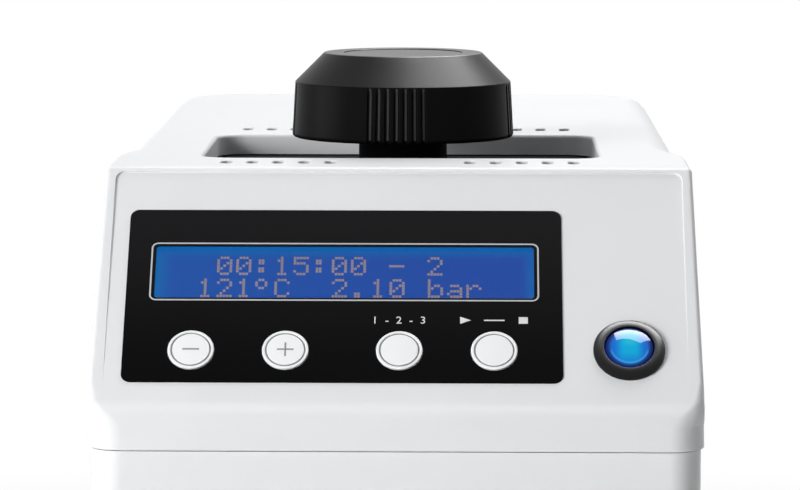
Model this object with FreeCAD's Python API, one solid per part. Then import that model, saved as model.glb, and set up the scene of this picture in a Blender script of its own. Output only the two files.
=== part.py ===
"""Benchtop autoclave: a top-loading steam steriliser with a bayonet lid.

The frame has its origin on the table under the middle of the footprint, with
+X to the right, +Y to the rear and +Z up. Lengths are millimetres.
"""
import FreeCAD, Part
import math
import os

# ---- fits shared by several pieces
running_gap = 0.05       # radial, for a turning shaft in its bush
sliding_gap = 0.3        # beside a piece that moves
seat_gap = 0.2           # between a soft piece and what it seals on
press_gap = 0.05         # radial, for pieces pushed together by hand

# ---- outside of the housing
body_width = 190.0       # across the skirt of the top cover
body_depth = 410.0       # front skirt to rear skirt
rear_reach = 14.0        # how far the hose couplings stand behind the housing
foot_height = 8.0
seam_height = 160.0      # lower edge of the top cover
cover_rise = 81.7        # skirt edge to top plane
cover_wall = 2.6
front_corner = 8.0       # plan radius of the front corners
rear_corner = 28.0       # plan radius of the rear corners
side_draft = 1.65        # how far the sides lean in by the top
nose_rise = 12.0         # where the front and the slope would meet
nose_radius = 12.0
rim_angle = 47.7         # slope of the frame round the panel
side_lip_radius = 2.0    # side edges of the top, where they leave the front edge
crown_radius = 10.0      # side and rear edges of the top
blend_depth = 112.0      # where the side edges reach the full crown radius
least_radius = 1.0
hexagon_sides = 6

# ---- sunk panel on the slope
panel_angle = 47.2
panel_start = 10.0       # along the slope from the nose
panel_length = 82.6
panel_side_margin = 5.0
panel_corner = 3.0
panel_relief = 6.0       # height of the cutter that sinks the panel

# ---- recess and vents in the top
recess_half_x = 65.3
recess_half_y = 49.0
recess_centre = 149.0    # behind the front skirt
recess_corner = 10.0
recess_wall_drop = 12.6  # depth of the white walls
recess_floor_drop = 7.0  # depth of the black floor
liner_wall = 1.8
liner_drop = 5.2
vent_count = 5
vent_first = 22.6
vent_pitch = 8.4
vent_width = 4.0
vent_length = 13.0
vent_front = 84.0
vent_rear = 221.5

# ---- lower housing, base and rear panel
shell_inset = 1.0        # lower housing behind the skirt
shell_wall = 3.0
seam_gap = 0.6
tongue_rise = 5.4
base_thickness = 2.0
base_vent_count = 6
base_vent_pitch = 22.0
base_vent_length = 60.0
base_vent_width = 5.0
boss_radius = 6.5
boss_height = 30.0
boss_side_inset = 10.0
boss_front = 21.0
boss_rear_inset = 44.0
foot_radius = 10.0
foot_side_inset = 23.0
foot_front = 36.0
foot_rear_inset = 60.0
foot_recess = 3.0
screw_radius = 2.0
screw_head_radius = 3.6
screw_head_height = 2.2
screw_length = 12.0
rear_panel_half = 63.0
rear_panel_bottom = 17.0
rear_panel_top = 153.0
rear_panel_thickness = 1.5
rear_panel_corner = 5.0
rear_opening_margin = 5.0
panel_screw_inset = 3.4
small_screw_radius = 1.3
small_head_radius = 2.4
small_head_height = 1.4
small_screw_length = 6.0
cover_screw_side = 45.0
cover_screw_rise = 3.4

# ---- control foil, display and keys, on the panel
foil_side_margin = 5.4   # panel edge to the foil's left end
foil_button_gap = 9.3    # the foil's right end to the button's ring
foil_low = 1.0
foil_high = 67.4
foil_thickness = 0.4
foil_corner = 3.0
window_centre_l = 43.1
window_left_margin = 8.85
window_right_margin = 8.75
window_height = 20.0
window_edge = 1.6        # hidden rim of the clear window under the foil
window_thickness = 1.0
glass_thickness = 2.0
glass_depth = 1.4        # panel face to the display glass
bezel_margin = 4.8
bezel_depth = 2.7
bezel_thickness = 3.2
display_board_margin = 9.75
display_board_height = 42.0
board_thickness = 1.6
display_boss_inset = 2.5
# shares of the foil's length at which the keys stand, from its left end
key_shares = {"minus": 0.1558, "plus": 0.3703, "program": 0.629, "start": 0.8442}
key_line = 13.1
key_radius = 7.2
key_proud = 1.2
key_groove_radius = 5.9
key_groove_width = 0.5
key_groove_depth = 0.35
key_edge = 0.35
key_flange_radius = 8.6
key_flange_depth = 2.9
key_flange_thickness = 0.8
key_travel = 0.5
switch_side = 6.0
switch_height = 3.0
plunger_radius = 1.7
plunger_height = 0.8
plunger_gap = 0.7
keypad_end_margin = 8.6  # ends of the foil to the ends of the keypad board
keypad_low = 4.0
keypad_high = 20.5
panel_boss_radius = 1.9
keypad_boss_inset = 2.4

# ---- illuminated push button
button_side_margin = 18.1
button_line = 13.4
bezel_radius = 11.1
bezel_height = 2.2
bezel_chamfer = 0.9
barrel_radius = 8.7
barrel_length = 16.0
lens_radius = 7.5
lens_rim = 1.8
lens_dome = 2.4
lens_length = 10.0
lens_wall = 1.4
button_travel = 2.0
button_stop_gap = 0.5
switch_body_length = 14.0
button_plunger_radius = 3.5
button_nut_radius = 11.5
button_nut_depth = 3.2
button_nut_thickness = 3.0
terminal_length = 5.0
terminal_side = 2.6

# ---- pressure vessel
vessel_radius = 40.0
vessel_wall = 3.0
vessel_depth = 175.0
flange_top = 208.0
flange_radius = 64.0
flange_thickness = 8.0
vessel_corner = 8.0
claw_ring_height = 5.0
claw_inner = 46.5
claw_post_inner = 58.5
claw_angle = 60.0        # where the claws stand, from +X
claw_span = 40.0
claw_thickness = 5.5
claw_clearance = 0.5
claw_ring_inner = 47.0
bolt_circle = 54.0
bolt_radius = 2.5
bolt_head_radius = 4.2
bolt_head_height = 2.6
bolt_angles = (0.0, 120.0, 150.0, 180.0, 300.0, 330.0)
nut_height = 3.6
chassis_thickness = 2.0
chassis_side_gap = 9.0   # half width of the housing to the frame's legs
chassis_front = 84.0
chassis_rear = 232.0
chassis_flange = 12.0
heater_gap = 0.2
heater_thickness = 3.0
heater_low = 60.0
heater_high = 130.0
insulation_gap = 0.4
insulation_side_gap = 26.0
insulation_low = 24.5
insulation_top_gap = 8.0
port_radius = 6.0
port_bore = 2.4
port_length = 7.0
port_angles = {"steam": 90.0, "relief": 0.0, "warmth": 180.0, "pressure": 150.0}
port_heights = {"steam": 180.0, "relief": 178.0, "warmth": 150.0, "pressure": 150.0}
relief_nut_radius = 7.5
relief_nut_length = 5.0
relief_body_radius = 5.5
relief_body_length = 10.0
sensor_nut_radius = 7.0
sensor_nut_length = 5.0
sensor_can_radius = 5.5
sensor_can_length = 9.0
sensor_probe_radius = 2.0

# ---- lid, carried by the flange
lid_plate_radius = 45.5
lid_plate_thickness = 5.7
seal_inner = 41.0
seal_outer = 44.4
seal_depth = 3.0
lock_bar_half_length = 57.5
lock_bar_width = 22.0
lock_bar_thickness = 6.0
lock_bar_lift = 2.0      # bar above the lid plate
lid_cover_thickness = 5.0
lid_cover_gap = 0.4
lid_cover_edge = 1.0
pillar_radius = 3.0
pillar_circle = 38.0
pillar_angles = (100.0, 140.0, 280.0, 320.0)
collar_radius = 14.9
collar_rise = 12.4
collar_foot_radius = 16.4
collar_foot_height = 1.6
bush_wall = 2.5
bush_flange_radius = 11.0
bush_flange_thickness = 1.5
rod_radius = 3.0
basket_radius = 36.5
basket_wall = 1.0
basket_bottom = 46.0
basket_height = 108.0
basket_slot_count = 12
basket_slot_width = 6.0
basket_slot_margin = 10.0
basket_slot_gap = 8.0
basket_nut_radius = 6.0
basket_nut_height = 4.0

# ---- handle knob
knob_radius = 37.5
knob_shoulder_radius = 36.4
knob_top_radius = 26.6
knob_clearance = 3.3     # top plane to the underside
knob_shoulder_rise = 18.7
knob_rise = 28.5
knob_edge = 2.0
knob_shoulder_edge = 2.5
knob_top_edge = 1.6
knob_wall = 3.0
knob_roof = 9.0
knob_skirt_gap = 1.4     # the collar reaches this far into the underside
hub_radius = 13.0
groove_count = 7
groove_groups = 4
groove_pitch_angle = 4.7
groove_radius = 0.9
groove_centre_out = 0.3  # groove centres outside the drum's lower edge
groove_turn = -2.5       # middle of a groove group beside straight ahead
cap_radius = 20.0
cap_thickness = 2.0
cap_sink = 0.3
spindle_radius = 6.0
spindle_thread_radius = 4.0
spindle_nut_radius = 7.5
spindle_nut_height = 5.0
ring_radius = 9.0
ring_thickness = 1.2

# ---- rear compartment
tank_side_gap = 9.0
tank_right = -6.0
tank_front_gap = 8.0     # frame to tank
tank_rear_inset = 60.0
tank_height = 140.0
tank_wall = 2.5
tank_corner = 6.0
tank_port_inset = 12.0   # front of the tank to its outlet
tank_port_rise = 14.0    # floor of the housing to that outlet
tank_filler_inset = 15.0 # rear of the tank to its filler
hose_lift = 20.0
spigot_radius = 4.0
spigot_bore = 2.5
spigot_length = 8.0
hose_wall = 1.5
hose_bend = 8.0
pipe_radius = 3.0
pipe_bore = 2.0
pipe_bend = 6.0
float_side_inset = 20.0
float_front_inset = 22.0
float_radius = 10.0
float_height = 18.0
float_travel = 95.0
float_stem_radius = 3.5
float_head_radius = 9.0
float_head_height = 6.0
pump_left = 14.0
pump_right = 50.0
pump_front = 228.0
pump_rear = 268.0
pump_height = 32.0
pump_foot = 4.0
pump_edge = 4.0
valve_positions = (26.0, 62.0)
valve_line = 261.0
valve_low = 104.0
valve_side = 22.0
valve_body_height = 18.0
coil_radius = 10.5
coil_height = 26.0
coil_cap_height = 3.0
bracket_front = 272.0
bracket_thickness = 2.0
bracket_left = 4.0
bracket_side_gap = 11.0
bracket_height = 142.0
bracket_foot = 22.0
fin_left = 8.0
fin_pitch = 5.0
fin_count = 12
fin_thickness = 0.8
fin_depth = 36.0
fin_low = 72.0
fin_high = 128.0
condenser_inset = 55.0
condenser_rows = (118.0, 100.0, 82.0)
condenser_edge = 8.0      # right end of the bracket to the tube's bends
exhaust_clearance = 5.5
exhaust_bend = 5.0
end_plate_thickness = 1.5

# ---- rear panel fittings
fan_x = 26.0
fan_z = 100.0
fan_side = 60.0
fan_depth = 15.0
fan_bore = 28.2
fan_corner = 4.0
rotor_radius = 27.0
rotor_hub_radius = 11.0
rotor_depth = 10.0
blade_count = 7
blade_thickness = 1.4
blade_twist = 35.0
fan_hub_radius = 12.0
fan_hub_thickness = 2.5
strut_width = 3.0
brace_angles = (45.0, 135.0, 225.0, 315.0)
fan_shaft_radius = 1.5
fan_hole_inset = 5.0
guard_ring_width = 1.5
guard_thickness = 1.2
guard_rings = (7.0, 13.0, 19.0, 25.0)
guard_ear_radius = 4.0
module_x = -38.0
module_z = 60.0
module_width = 27.0
module_height = 48.0
module_depth = 26.0
module_flange = 2.0
module_flange_margin = 2.0
socket_width = 24.4
socket_height = 16.4
socket_depth = 16.0
socket_corner = 3.5
socket_offset = -2.5
pin_spacing = 7.0
pin_offset = 4.0
pin_width = 2.0
pin_height = 4.0
pin_length = 14.0
drawer_width = 22.0
drawer_height = 6.0
drawer_depth = 20.0
drawer_offset = -17.0
drawer_travel = 14.0
drawer_grip = 1.2
rocker_offset = 15.0
rocker_width = 19.0
rocker_radius = 6.2
rocker_tilt = 7.0
rocker_valley = 8.0      # each half of its face leans by this
coupling_positions = (-14.0, -44.0)
coupling_z = 112.0
coupling_flange_radius = 8.0
coupling_flange_thickness = 3.0
coupling_inner = 12.0
filter_x = 40.0
filter_z = 42.0
filter_radius = 14.0
filter_length = 24.0
filter_spigot_radius = 5.0
filter_spigot_length = 4.0

# ---- front compartment
board_front = 24.0
board_half = 68.0
board_low = 44.0
board_high = 140.0
standoff_radius = 3.0
standoff_inset = 6.0
transformer_half = 30.0
transformer_front = 40.0
transformer_depth = 30.0
transformer_height = 48.0
transformer_coil_margin = 7.0
transformer_leg = 10.0
relay_size = (20.0, 14.0, 16.0)
relay_positions = ((-50.0, 70.0), (-22.0, 70.0))
capacitor_radius = 6.0
capacitor_length = 18.0
capacitor_positions = ((20.0, 80.0), (38.0, 80.0))
chip_side = 14.0
chip_height = 2.2
chip_positions = ((-40.0, 112.0), (0.0, 112.0), (34.0, 116.0))

# ---- places worked out from the sizes above
front = -(body_depth + rear_reach) / 2
rear = front + body_depth
half_width = body_width / 2
seam_z = seam_height
top_z = seam_z + cover_rise
base_z = foot_height
base_top = base_z + base_thickness
shell_back = rear - shell_inset
axis_y = front + recess_centre
floor_z = top_z - recess_floor_drop
liner_low = floor_z - liner_drop
lid_plate_low = flange_top + sliding_gap
lid_plate_top = lid_plate_low + lid_plate_thickness
bar_low = lid_plate_top + lock_bar_lift
bar_top = bar_low + lock_bar_thickness
claw_low = bar_top + claw_clearance
lid_cover_top = floor_z - seat_gap
lid_cover_low = lid_cover_top - lid_cover_thickness
knob_low = top_z + knob_clearance
knob_top = knob_low + knob_rise
flange_low = flange_top - flange_thickness
chassis_top = flange_low
chassis_low = chassis_top - chassis_thickness
vessel_floor = flange_top - vessel_depth
vessel_bottom = vessel_floor - vessel_wall
vessel_outer = vessel_radius + vessel_wall
heater_inner = vessel_outer + heater_gap
insulation_inner = heater_inner + heater_thickness + insulation_gap
hose_inner = spigot_radius + press_gap
hose_outer = hose_inner + hose_wall
panel_inner_y = shell_back - rear_panel_thickness
boss_side = half_width - boss_side_inset
foot_side = half_width - foot_side_inset
panel_half = half_width - panel_side_margin
button_x = panel_half - button_side_margin
foil_left = foil_side_margin - panel_half
foil_right = button_x - bezel_radius - foil_button_gap
window_width = foil_right - window_right_margin - foil_left - window_left_margin
window_centre_x = foil_left + window_left_margin + window_width / 2
display_board_width = window_width + 2 * display_board_margin
key_positions = {name: foil_left + share * (foil_right - foil_left) for name, share in key_shares.items()}
keypad_left = foil_left + keypad_end_margin
keypad_right = foil_right - keypad_end_margin
keypad_front = key_flange_depth + key_flange_thickness + plunger_gap + plunger_height + switch_height
chassis_half = half_width - chassis_side_gap
chassis_back = front + chassis_rear
insulation_outer = chassis_half - insulation_side_gap
port_end = insulation_outer + port_length
bush_radius = spindle_radius + running_gap + bush_wall
collar_top = lid_cover_top + collar_rise
spindle_shoulder = collar_top + knob_wall
nut_seat = knob_top - cap_sink - cap_thickness - spindle_nut_height - least_radius
tank_left = tank_side_gap - half_width
float_x = tank_left + float_side_inset
tank_front = chassis_back + tank_front_gap
tank_rear = rear - tank_rear_inset
tank_port_y = tank_front + tank_port_inset
tank_port_z = base_top + tank_port_rise
tank_filler_x = coupling_positions[1]
tank_filler_y = tank_rear - tank_filler_inset
float_y = tank_front + float_front_inset
pump_line = front + valve_line
valve_port_z = valve_low + valve_body_height / 2
rocker_z = module_z + rocker_offset
rocker_axis_y = shell_back + module_flange - least_radius
bracket_right = half_width - bracket_side_gap
condenser_line = rear - condenser_inset
condenser_right = bracket_right - condenser_edge
far = 2 * body_depth

parts = {}


def point(x, y, z):
    """A point or direction from its three coordinates."""
    return FreeCAD.Vector(x, y, z)


UP = point(0, 0, 1)
BACK = point(0, 1, 0)
RIGHT = point(1, 0, 0)


def box(x0, x1, y0, y1, z0, z1):
    """A block between two opposite corners."""
    return Part.makeBox(x1 - x0, y1 - y0, z1 - z0, point(x0, y0, z0))


def rod(radius, start, length, axis=UP):
    """A round bar from its start point along an axis."""
    return Part.makeCylinder(radius, length, start, axis)


def tube(outer, inner, start, length, axis=UP):
    """A round pipe with a straight bore."""
    return rod(outer, start, length, axis).cut(rod(inner, start, length, axis))


def fuse(shapes):
    """Several overlapping shapes as one solid."""
    first, rest = shapes[0], shapes[1:]
    whole = first.fuse(rest) if rest else first
    return whole.removeSplitter()


def group(shapes):
    """Several separate solids kept in one node."""
    return Part.makeCompound(shapes)


def rounded_loop(corners, radii):
    """A closed outline through corners, each rounded by its own radius."""
    arcs = []
    for index, corner in enumerate(corners):
        behind = (corners[index - 1] - corner).normalize()
        ahead = (corners[(index + 1) % len(corners)] - corner).normalize()
        half_angle = behind.getAngle(ahead) / 2
        reach = radii[index] / math.tan(half_angle)
        inward = (behind + ahead).normalize()
        centre = corner + inward * (radii[index] / math.sin(half_angle))
        arcs.append((corner + behind * reach, centre - inward * radii[index], corner + ahead * reach))
    edges = []
    for index, (enter, middle, leave) in enumerate(arcs):
        if radii[index] > 0:
            edges.append(Part.Arc(enter, middle, leave).toShape())
        following = arcs[(index + 1) % len(arcs)][0]
        if leave.distanceToPoint(following) > Part.Precision.confusion():
            edges.append(Part.LineSegment(leave, following).toShape())
    return Part.Wire(edges)


def rounded_block(x0, x1, y0, y1, z0, z1, radius):
    """A block with rounded vertical edges."""
    corners = [point(x0, y0, z0), point(x1, y0, z0), point(x1, y1, z0), point(x0, y1, z0)]
    return Part.Face(rounded_loop(corners, [radius] * len(corners))).extrude(point(0, 0, z1 - z0))


def upright_block(x0, x1, y0, y1, z0, z1, radius):
    """A block with rounded edges along Y."""
    corners = [point(x0, y0, z0), point(x1, y0, z0), point(x1, y0, z1), point(x0, y0, z1)]
    return Part.Face(rounded_loop(corners, [radius] * len(corners))).extrude(point(0, y1 - y0, 0))


def sector(inner, outer, low, high, middle_angle, span, centre):
    """A ring segment about a vertical axis."""
    whole = Part.makeCylinder(outer, high - low, point(0, 0, low), UP, span)
    whole = whole.cut(rod(inner, point(0, 0, low), high - low))
    whole.rotate(point(0, 0, 0), UP, middle_angle - span / 2)
    whole.translate(point(centre[0], centre[1], 0))
    return whole


def around(radius, angle, z):
    """A point at an angle round the vessel's axis."""
    turn = math.radians(angle)
    return point(radius * math.cos(turn), axis_y + radius * math.sin(turn), z)


def pipe(route, radius, bore, bend):
    """A pipe along straight runs joined by tangent arcs."""
    edges = []
    last = route[0]
    for before, corner, after in zip(route, route[1:], route[2:]):
        behind = (before - corner).normalize()
        ahead = (after - corner).normalize()
        half_angle = behind.getAngle(ahead) / 2
        reach = bend / math.tan(half_angle)
        inward = (behind + ahead).normalize()
        middle = corner + inward * (bend / math.sin(half_angle) - bend)
        edges.append(Part.LineSegment(last, corner + behind * reach).toShape())
        edges.append(Part.Arc(corner + behind * reach, middle, corner + ahead * reach).toShape())
        last = corner + ahead * reach
    edges.append(Part.LineSegment(last, route[-1]).toShape())
    path = Part.Wire(edges)
    start = route[0]
    heading = (route[1] - route[0]).normalize()
    skins = []
    for size in (radius, bore):
        ring = Part.Wire(Part.makeCircle(size, start, heading))
        skins.append(path.makePipeShell([ring], True, False))
    return skins[0].cut(skins[1])


# ---------------------------------------------------------------- top cover

def cover_walls(inset):
    """The cover's upright walls, which lean in with height, as a block."""
    side = half_width - inset
    low_y = front + inset
    high_y = rear - inset
    across = [point(-side, low_y, seam_z), point(side, low_y, seam_z),
              point(side - side_draft, low_y, top_z),
              point(side_draft - side, low_y, top_z)]
    along = [point(-body_width, low_y, seam_z), point(-body_width, high_y, seam_z),
             point(-body_width, high_y - side_draft, top_z), point(-body_width, low_y, top_z)]
    wide = Part.Face(Part.makePolygon(across + across[:1])).extrude(point(0, body_depth, 0))
    deep = Part.Face(Part.makePolygon(along + along[:1])).extrude(point(2 * body_width, 0, 0))
    block = wide.common(deep)
    corners = [edge for edge in block.Edges if edge.BoundBox.ZLength > cover_rise / 2]
    block = block.makeFillet(front_corner - inset, [edge for edge in corners if edge.BoundBox.YMax < 0])
    corners = [edge for edge in block.Edges if edge.BoundBox.ZLength > cover_rise / 2]
    sharp = [edge for edge in corners if edge.BoundBox.YMax > rear - rear_corner]
    return block.makeFillet(rear_corner - inset, sharp)


def cover_side_view(inset):
    """A prism of the cover's side view, kept inside its outer faces by inset."""
    slope = math.radians(rim_angle)
    low_y = front + inset
    roof = top_z - inset
    lift = seam_z + nose_rise - inset * math.cos(slope)
    nose_z = lift + (inset - inset * math.sin(slope)) * math.tan(slope)
    roof_y = low_y + (roof - nose_z) / math.tan(slope)
    behind = rear + rear_corner
    outline = [(low_y, seam_z), (low_y, nose_z), (roof_y, roof), (behind, roof), (behind, seam_z)]
    radii = [0, max(nose_radius - inset, least_radius), 0, 0, 0]
    corners = [point(-body_width, y, z) for y, z in outline]
    return Part.Face(rounded_loop(corners, radii)).extrude(point(2 * body_width, 0, 0))


def cover_form(inset):
    """The cover's solid form before its edges are rounded."""
    return cover_walls(inset).common(cover_side_view(inset))


def top_edges(shape, level, cut_y):
    """Edges that lie in the top plane, apart from those in the dividing plane."""
    found = []
    for edge in shape.Edges:
        box_of = edge.BoundBox
        flat = abs(box_of.ZMin - level) < sliding_gap and abs(box_of.ZMax - level) < sliding_gap
        dividing = abs(box_of.YMin - cut_y) < sliding_gap and box_of.YLength < sliding_gap
        across = box_of.YLength < sliding_gap and box_of.YMax < cut_y
        if flat and not dividing and not across:
            found.append(edge)
    return found


def cover_skin():
    """The outer form, whose side edges grow rounder behind the front lip."""
    form = cover_form(0)
    cut_y = front + blend_depth
    nose = form.common(box(-far, far, -far, cut_y, 0, far))
    stern = form.common(box(-far, far, cut_y, far, 0, far))
    stern = stern.makeFillet(crown_radius, top_edges(stern, top_z, cut_y))
    for side in (-1, 1):
        edges = [e for e in top_edges(nose, top_z, cut_y) if e.BoundBox.Center.x * side > 0]
        edge = edges[0]
        forward = edge.valueAt(edge.FirstParameter).y < edge.valueAt(edge.LastParameter).y
        ends = (side_lip_radius, crown_radius) if forward else (crown_radius, side_lip_radius)
        nose = nose.makeFillet(ends[0], ends[1], [edge])
    return nose.fuse(stern).removeSplitter()


def cover_cavity():
    """The hollow under the cover."""
    form = cover_form(cover_wall)
    roof = top_z - cover_wall
    return form.makeFillet(crown_radius - cover_wall, top_edges(form, roof, front + blend_depth))


def panel_origin():
    """Where the sunk panel starts on the slope, as a point."""
    slope = math.radians(rim_angle)
    along = point(0, math.cos(slope), math.sin(slope)) * panel_start
    return point(0, front, seam_z + nose_rise) + along


panel_place = FreeCAD.Placement(panel_origin(), FreeCAD.Rotation(RIGHT, panel_angle))


def on_panel(shape):
    """Moves a shape drawn in panel coordinates onto the slope.

    Panel coordinates run across, up the slope and outwards from its face.
    """
    placed = shape.copy()
    placed.Placement = panel_place.multiply(placed.Placement)
    return placed


def recess_block(grow, low, high):
    """The recess outline as a block, grown outwards by an amount."""
    return rounded_block(-recess_half_x - grow, recess_half_x + grow, axis_y - recess_half_y - grow,
                         axis_y + recess_half_y + grow, low, high, recess_corner + grow)


def vent_slots():
    """Cutters for the rows of vents before and behind the recess."""
    cutters = []
    round_end = vent_width / 2
    for row in (vent_front, vent_rear):
        for side in (-1, 1):
            for index in range(vent_count):
                x = side * (vent_first + index * vent_pitch)
                low_y = front + row - vent_length / 2
                slot = rounded_block(x - round_end, x + round_end, low_y, low_y + vent_length,
                                     top_z - crown_radius, top_z + least_radius, round_end - press_gap)
                cutters.append(slot)
    return cutters


def panel_bosses():
    """Posts behind the panel that carry the display and keypad boards."""
    posts = []
    display_low = window_centre_l - display_board_height / 2 + display_boss_inset
    display_high = window_centre_l + display_board_height / 2 - display_boss_inset
    display_left = window_centre_x - display_board_width / 2 + display_boss_inset
    display_right = window_centre_x + display_board_width / 2 - display_boss_inset
    display_back = bezel_depth + bezel_thickness
    for x in (display_left, display_right):
        for l in (display_low, display_high):
            posts.append(rod(panel_boss_radius, point(x, l, -display_back), display_back - cover_wall / 2))
    for x in (keypad_left + keypad_boss_inset, keypad_right - keypad_boss_inset):
        for l in (keypad_low + keypad_boss_inset, keypad_high - keypad_boss_inset):
            posts.append(rod(panel_boss_radius, point(x, l, -keypad_front), keypad_front - cover_wall / 2))
    return [on_panel(post) for post in posts]


def window_block(margin, low, high, radius):
    """A block over the display window, wider than it by a margin."""
    reach_x = window_width / 2 + margin
    reach_l = window_height / 2 + margin
    return rounded_block(window_centre_x - reach_x, window_centre_x + reach_x, window_centre_l - reach_l,
                         window_centre_l + reach_l, low, high, radius)


def panel_openings():
    """Everything cut through the slope: panel relief, window, keys and button."""
    relief = rounded_block(-panel_half, panel_half, 0, panel_length, 0, panel_relief, panel_corner)
    through = -panel_relief
    cutters = [relief, window_block(window_edge + press_gap, through, panel_relief, least_radius)]
    for x in key_positions.values():
        cutters.append(rod(key_radius + sliding_gap, point(x, key_line, through), 2 * panel_relief))
    cutters.append(rod(barrel_radius + press_gap, point(button_x, button_line, through), 2 * panel_relief))
    return [on_panel(cutter) for cutter in cutters]


def make_top_cover():
    """The moulded top with its sloping front, recess and vents."""
    shell = cover_skin().cut(cover_cavity())
    wall_low = top_z - recess_wall_drop
    shell = shell.fuse(recess_block(cover_wall, wall_low, top_z - least_radius))
    shell = shell.cut(recess_block(0, wall_low - least_radius, top_z + least_radius))
    shell = shell.fuse(panel_bosses())
    shell = shell.cut(vent_slots() + panel_openings() + cover_screw_holes())
    return shell.removeSplitter()


def cover_screw_spots():
    """Screw positions in the rear skirt, as points on its outer face."""
    z = seam_z + cover_screw_rise
    return [point(side * cover_screw_side, rear, z) for side in (-1, 1)]


def cover_screw_holes():
    """Holes for the two screws through the rear skirt and the tongue inside it."""
    reach = shell_inset + shell_wall + least_radius
    holes = []
    for spot in cover_screw_spots():
        start = spot - BACK * (reach + small_screw_length)
        holes.append(rod(small_screw_radius + press_gap, start, reach + small_screw_length + least_radius,
                         BACK))
    return holes


# ------------------------------------------------------- lower housing group

def shell_plan(inset, z0, z1):
    """A vertical block of the housing's outline, inside the skirt by inset."""
    corners = [
        point(-half_width + inset, front + inset, z0), point(half_width - inset, front + inset, z0),
        point(half_width - inset, rear - inset, z0), point(-half_width + inset, rear - inset, z0),
    ]
    small = front_corner - inset
    large = rear_corner - inset
    return Part.Face(rounded_loop(corners, [small, small, large, large])).extrude(point(0, 0, z1 - z0))


def rear_panel_block(grow, y0, y1):
    """The rear panel's outline as a block along Y, grown by an amount."""
    return upright_block(-rear_panel_half - grow, rear_panel_half + grow, y0, y1,
                         rear_panel_bottom - grow, rear_panel_top + grow, rear_panel_corner + grow)


def boss_spots():
    """Corner posts of the lower housing, as (x, y) places."""
    return [(side * boss_side, y) for side in (-1, 1) for y in (front + boss_front, rear - boss_rear_inset)]


def panel_screw_spots():
    """Screw positions round the rear panel, as (x, z) places."""
    side = rear_panel_half - panel_screw_inset
    low = rear_panel_bottom + panel_screw_inset
    high = rear_panel_top - panel_screw_inset
    return [(x, z) for x in (-side, side) for z in (low, (low + high) / 2, high)]


def make_lower_housing():
    """The walls below the seam, with a tongue that locates the top cover."""
    inner = shell_inset + shell_wall
    wall_top = seam_z - seam_gap
    tongue_inset = cover_wall + sliding_gap
    walls = shell_plan(shell_inset, base_z, wall_top)
    tongue = shell_plan(tongue_inset, wall_top - seam_gap, seam_z + tongue_rise)
    walls = walls.fuse(tongue).cut(shell_plan(inner, base_z - least_radius, seam_z + 2 * tongue_rise))
    posts = [rod(boss_radius, point(x, y, base_top), boss_height) for x, y in boss_spots()]
    keep = shell_plan(shell_inset + least_radius, base_z, wall_top)
    walls = walls.fuse([post.common(keep) for post in posts])
    cutters = [rear_panel_block(press_gap, panel_inner_y, rear + least_radius)]
    cutters.append(rear_panel_block(-rear_opening_margin, rear - 2 * inner, rear + least_radius))
    cutters += [rod(screw_radius + press_gap, point(x, y, base_top - least_radius), screw_length)
                for x, y in boss_spots()]
    for x, z in panel_screw_spots():
        start = point(x, panel_inner_y - small_screw_length, z)
        cutters.append(rod(small_screw_radius + press_gap, start, small_screw_length + least_radius, BACK))
    return walls.cut(cutters + cover_screw_holes()).removeSplitter()


def foot_spots():
    """Feet under the base plate, as (x, y) places."""
    return [(side * foot_side, y) for side in (-1, 1) for y in (front + foot_front, rear - foot_rear_inset)]


def make_base_plate():
    """The steel bottom plate with air slots and screw holes."""
    inner = shell_inset + shell_wall + sliding_gap
    plate = shell_plan(inner, base_z, base_top)
    cutters = []
    for index in range(base_vent_count):
        x = (index - (base_vent_count - 1) / 2) * base_vent_pitch
        cutters.append(rounded_block(x - base_vent_width / 2, x + base_vent_width / 2,
                                     axis_y - base_vent_length / 2, axis_y + base_vent_length / 2,
                                     base_z - least_radius, base_top + least_radius,
                                     base_vent_width / 2 - press_gap))
    for x, y in boss_spots() + foot_spots():
        cutters.append(rod(screw_radius + press_gap, point(x, y, base_z - least_radius), foot_height))
    return plate.cut(cutters)


def make_feet():
    """Four tapered rubber feet, each with a counterbore for its screw."""
    feet = []
    for x, y in foot_spots():
        taper = Part.makeCone(foot_radius - least_radius, foot_radius, foot_height, point(x, y, 0), UP)
        bore = rod(screw_radius + press_gap, point(x, y, 0), foot_height)
        recess = rod(screw_head_radius + seat_gap, point(x, y, 0), foot_recess)
        feet.append(taper.cut([bore, recess]))
    return group(feet)


def screw(radius, head_radius, head_height, length, start, axis):
    """A pan-head screw: start is under the head, and the shank runs along the axis."""
    head = rod(head_radius, start - axis * head_height, head_height, axis)
    head = head.makeFillet(head_height / 2, [head.Edges[0] if head.Edges[0].Curve.Center.isEqual(
        start - axis * head_height, Part.Precision.confusion()) else head.Edges[2]])
    return head.fuse(rod(radius, start, length, axis)).removeSplitter()


def make_housing_screws():
    """Screws of the feet, the base plate, the rear panel, the fan guard and the rear skirt."""
    screws = []
    for x, y in foot_spots():
        screws.append(screw(screw_radius, screw_head_radius, screw_head_height,
                            foot_height - foot_recess + base_thickness, point(x, y, foot_recess), UP))
    for x, y in boss_spots():
        screws.append(screw(screw_radius, screw_head_radius, screw_head_height,
                            screw_length - 2 * least_radius,
                            point(x, y, base_z), UP))
    for x, z in panel_screw_spots():
        screws.append(screw(small_screw_radius, small_head_radius, small_head_height,
                            rear_panel_thickness + shell_wall / 2, point(x, shell_back, z), -BACK))
    for x, z in fan_hole_spots():
        screws.append(screw(small_screw_radius, small_head_radius, small_head_height, small_screw_length,
                            point(x, shell_back + guard_thickness, z), -BACK))
    for spot in cover_screw_spots():
        screws.append(screw(small_screw_radius, small_head_radius, small_head_height,
                            shell_inset + shell_wall, spot, -BACK))
    return group(screws)


def fan_hole_spots():
    """The four holes shared by the fan frame, the rear panel and the guard."""
    reach = fan_side / 2 - fan_hole_inset
    return [(fan_x + i * reach, fan_z + j * reach) for i in (-1, 1) for j in (-1, 1)]


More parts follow.
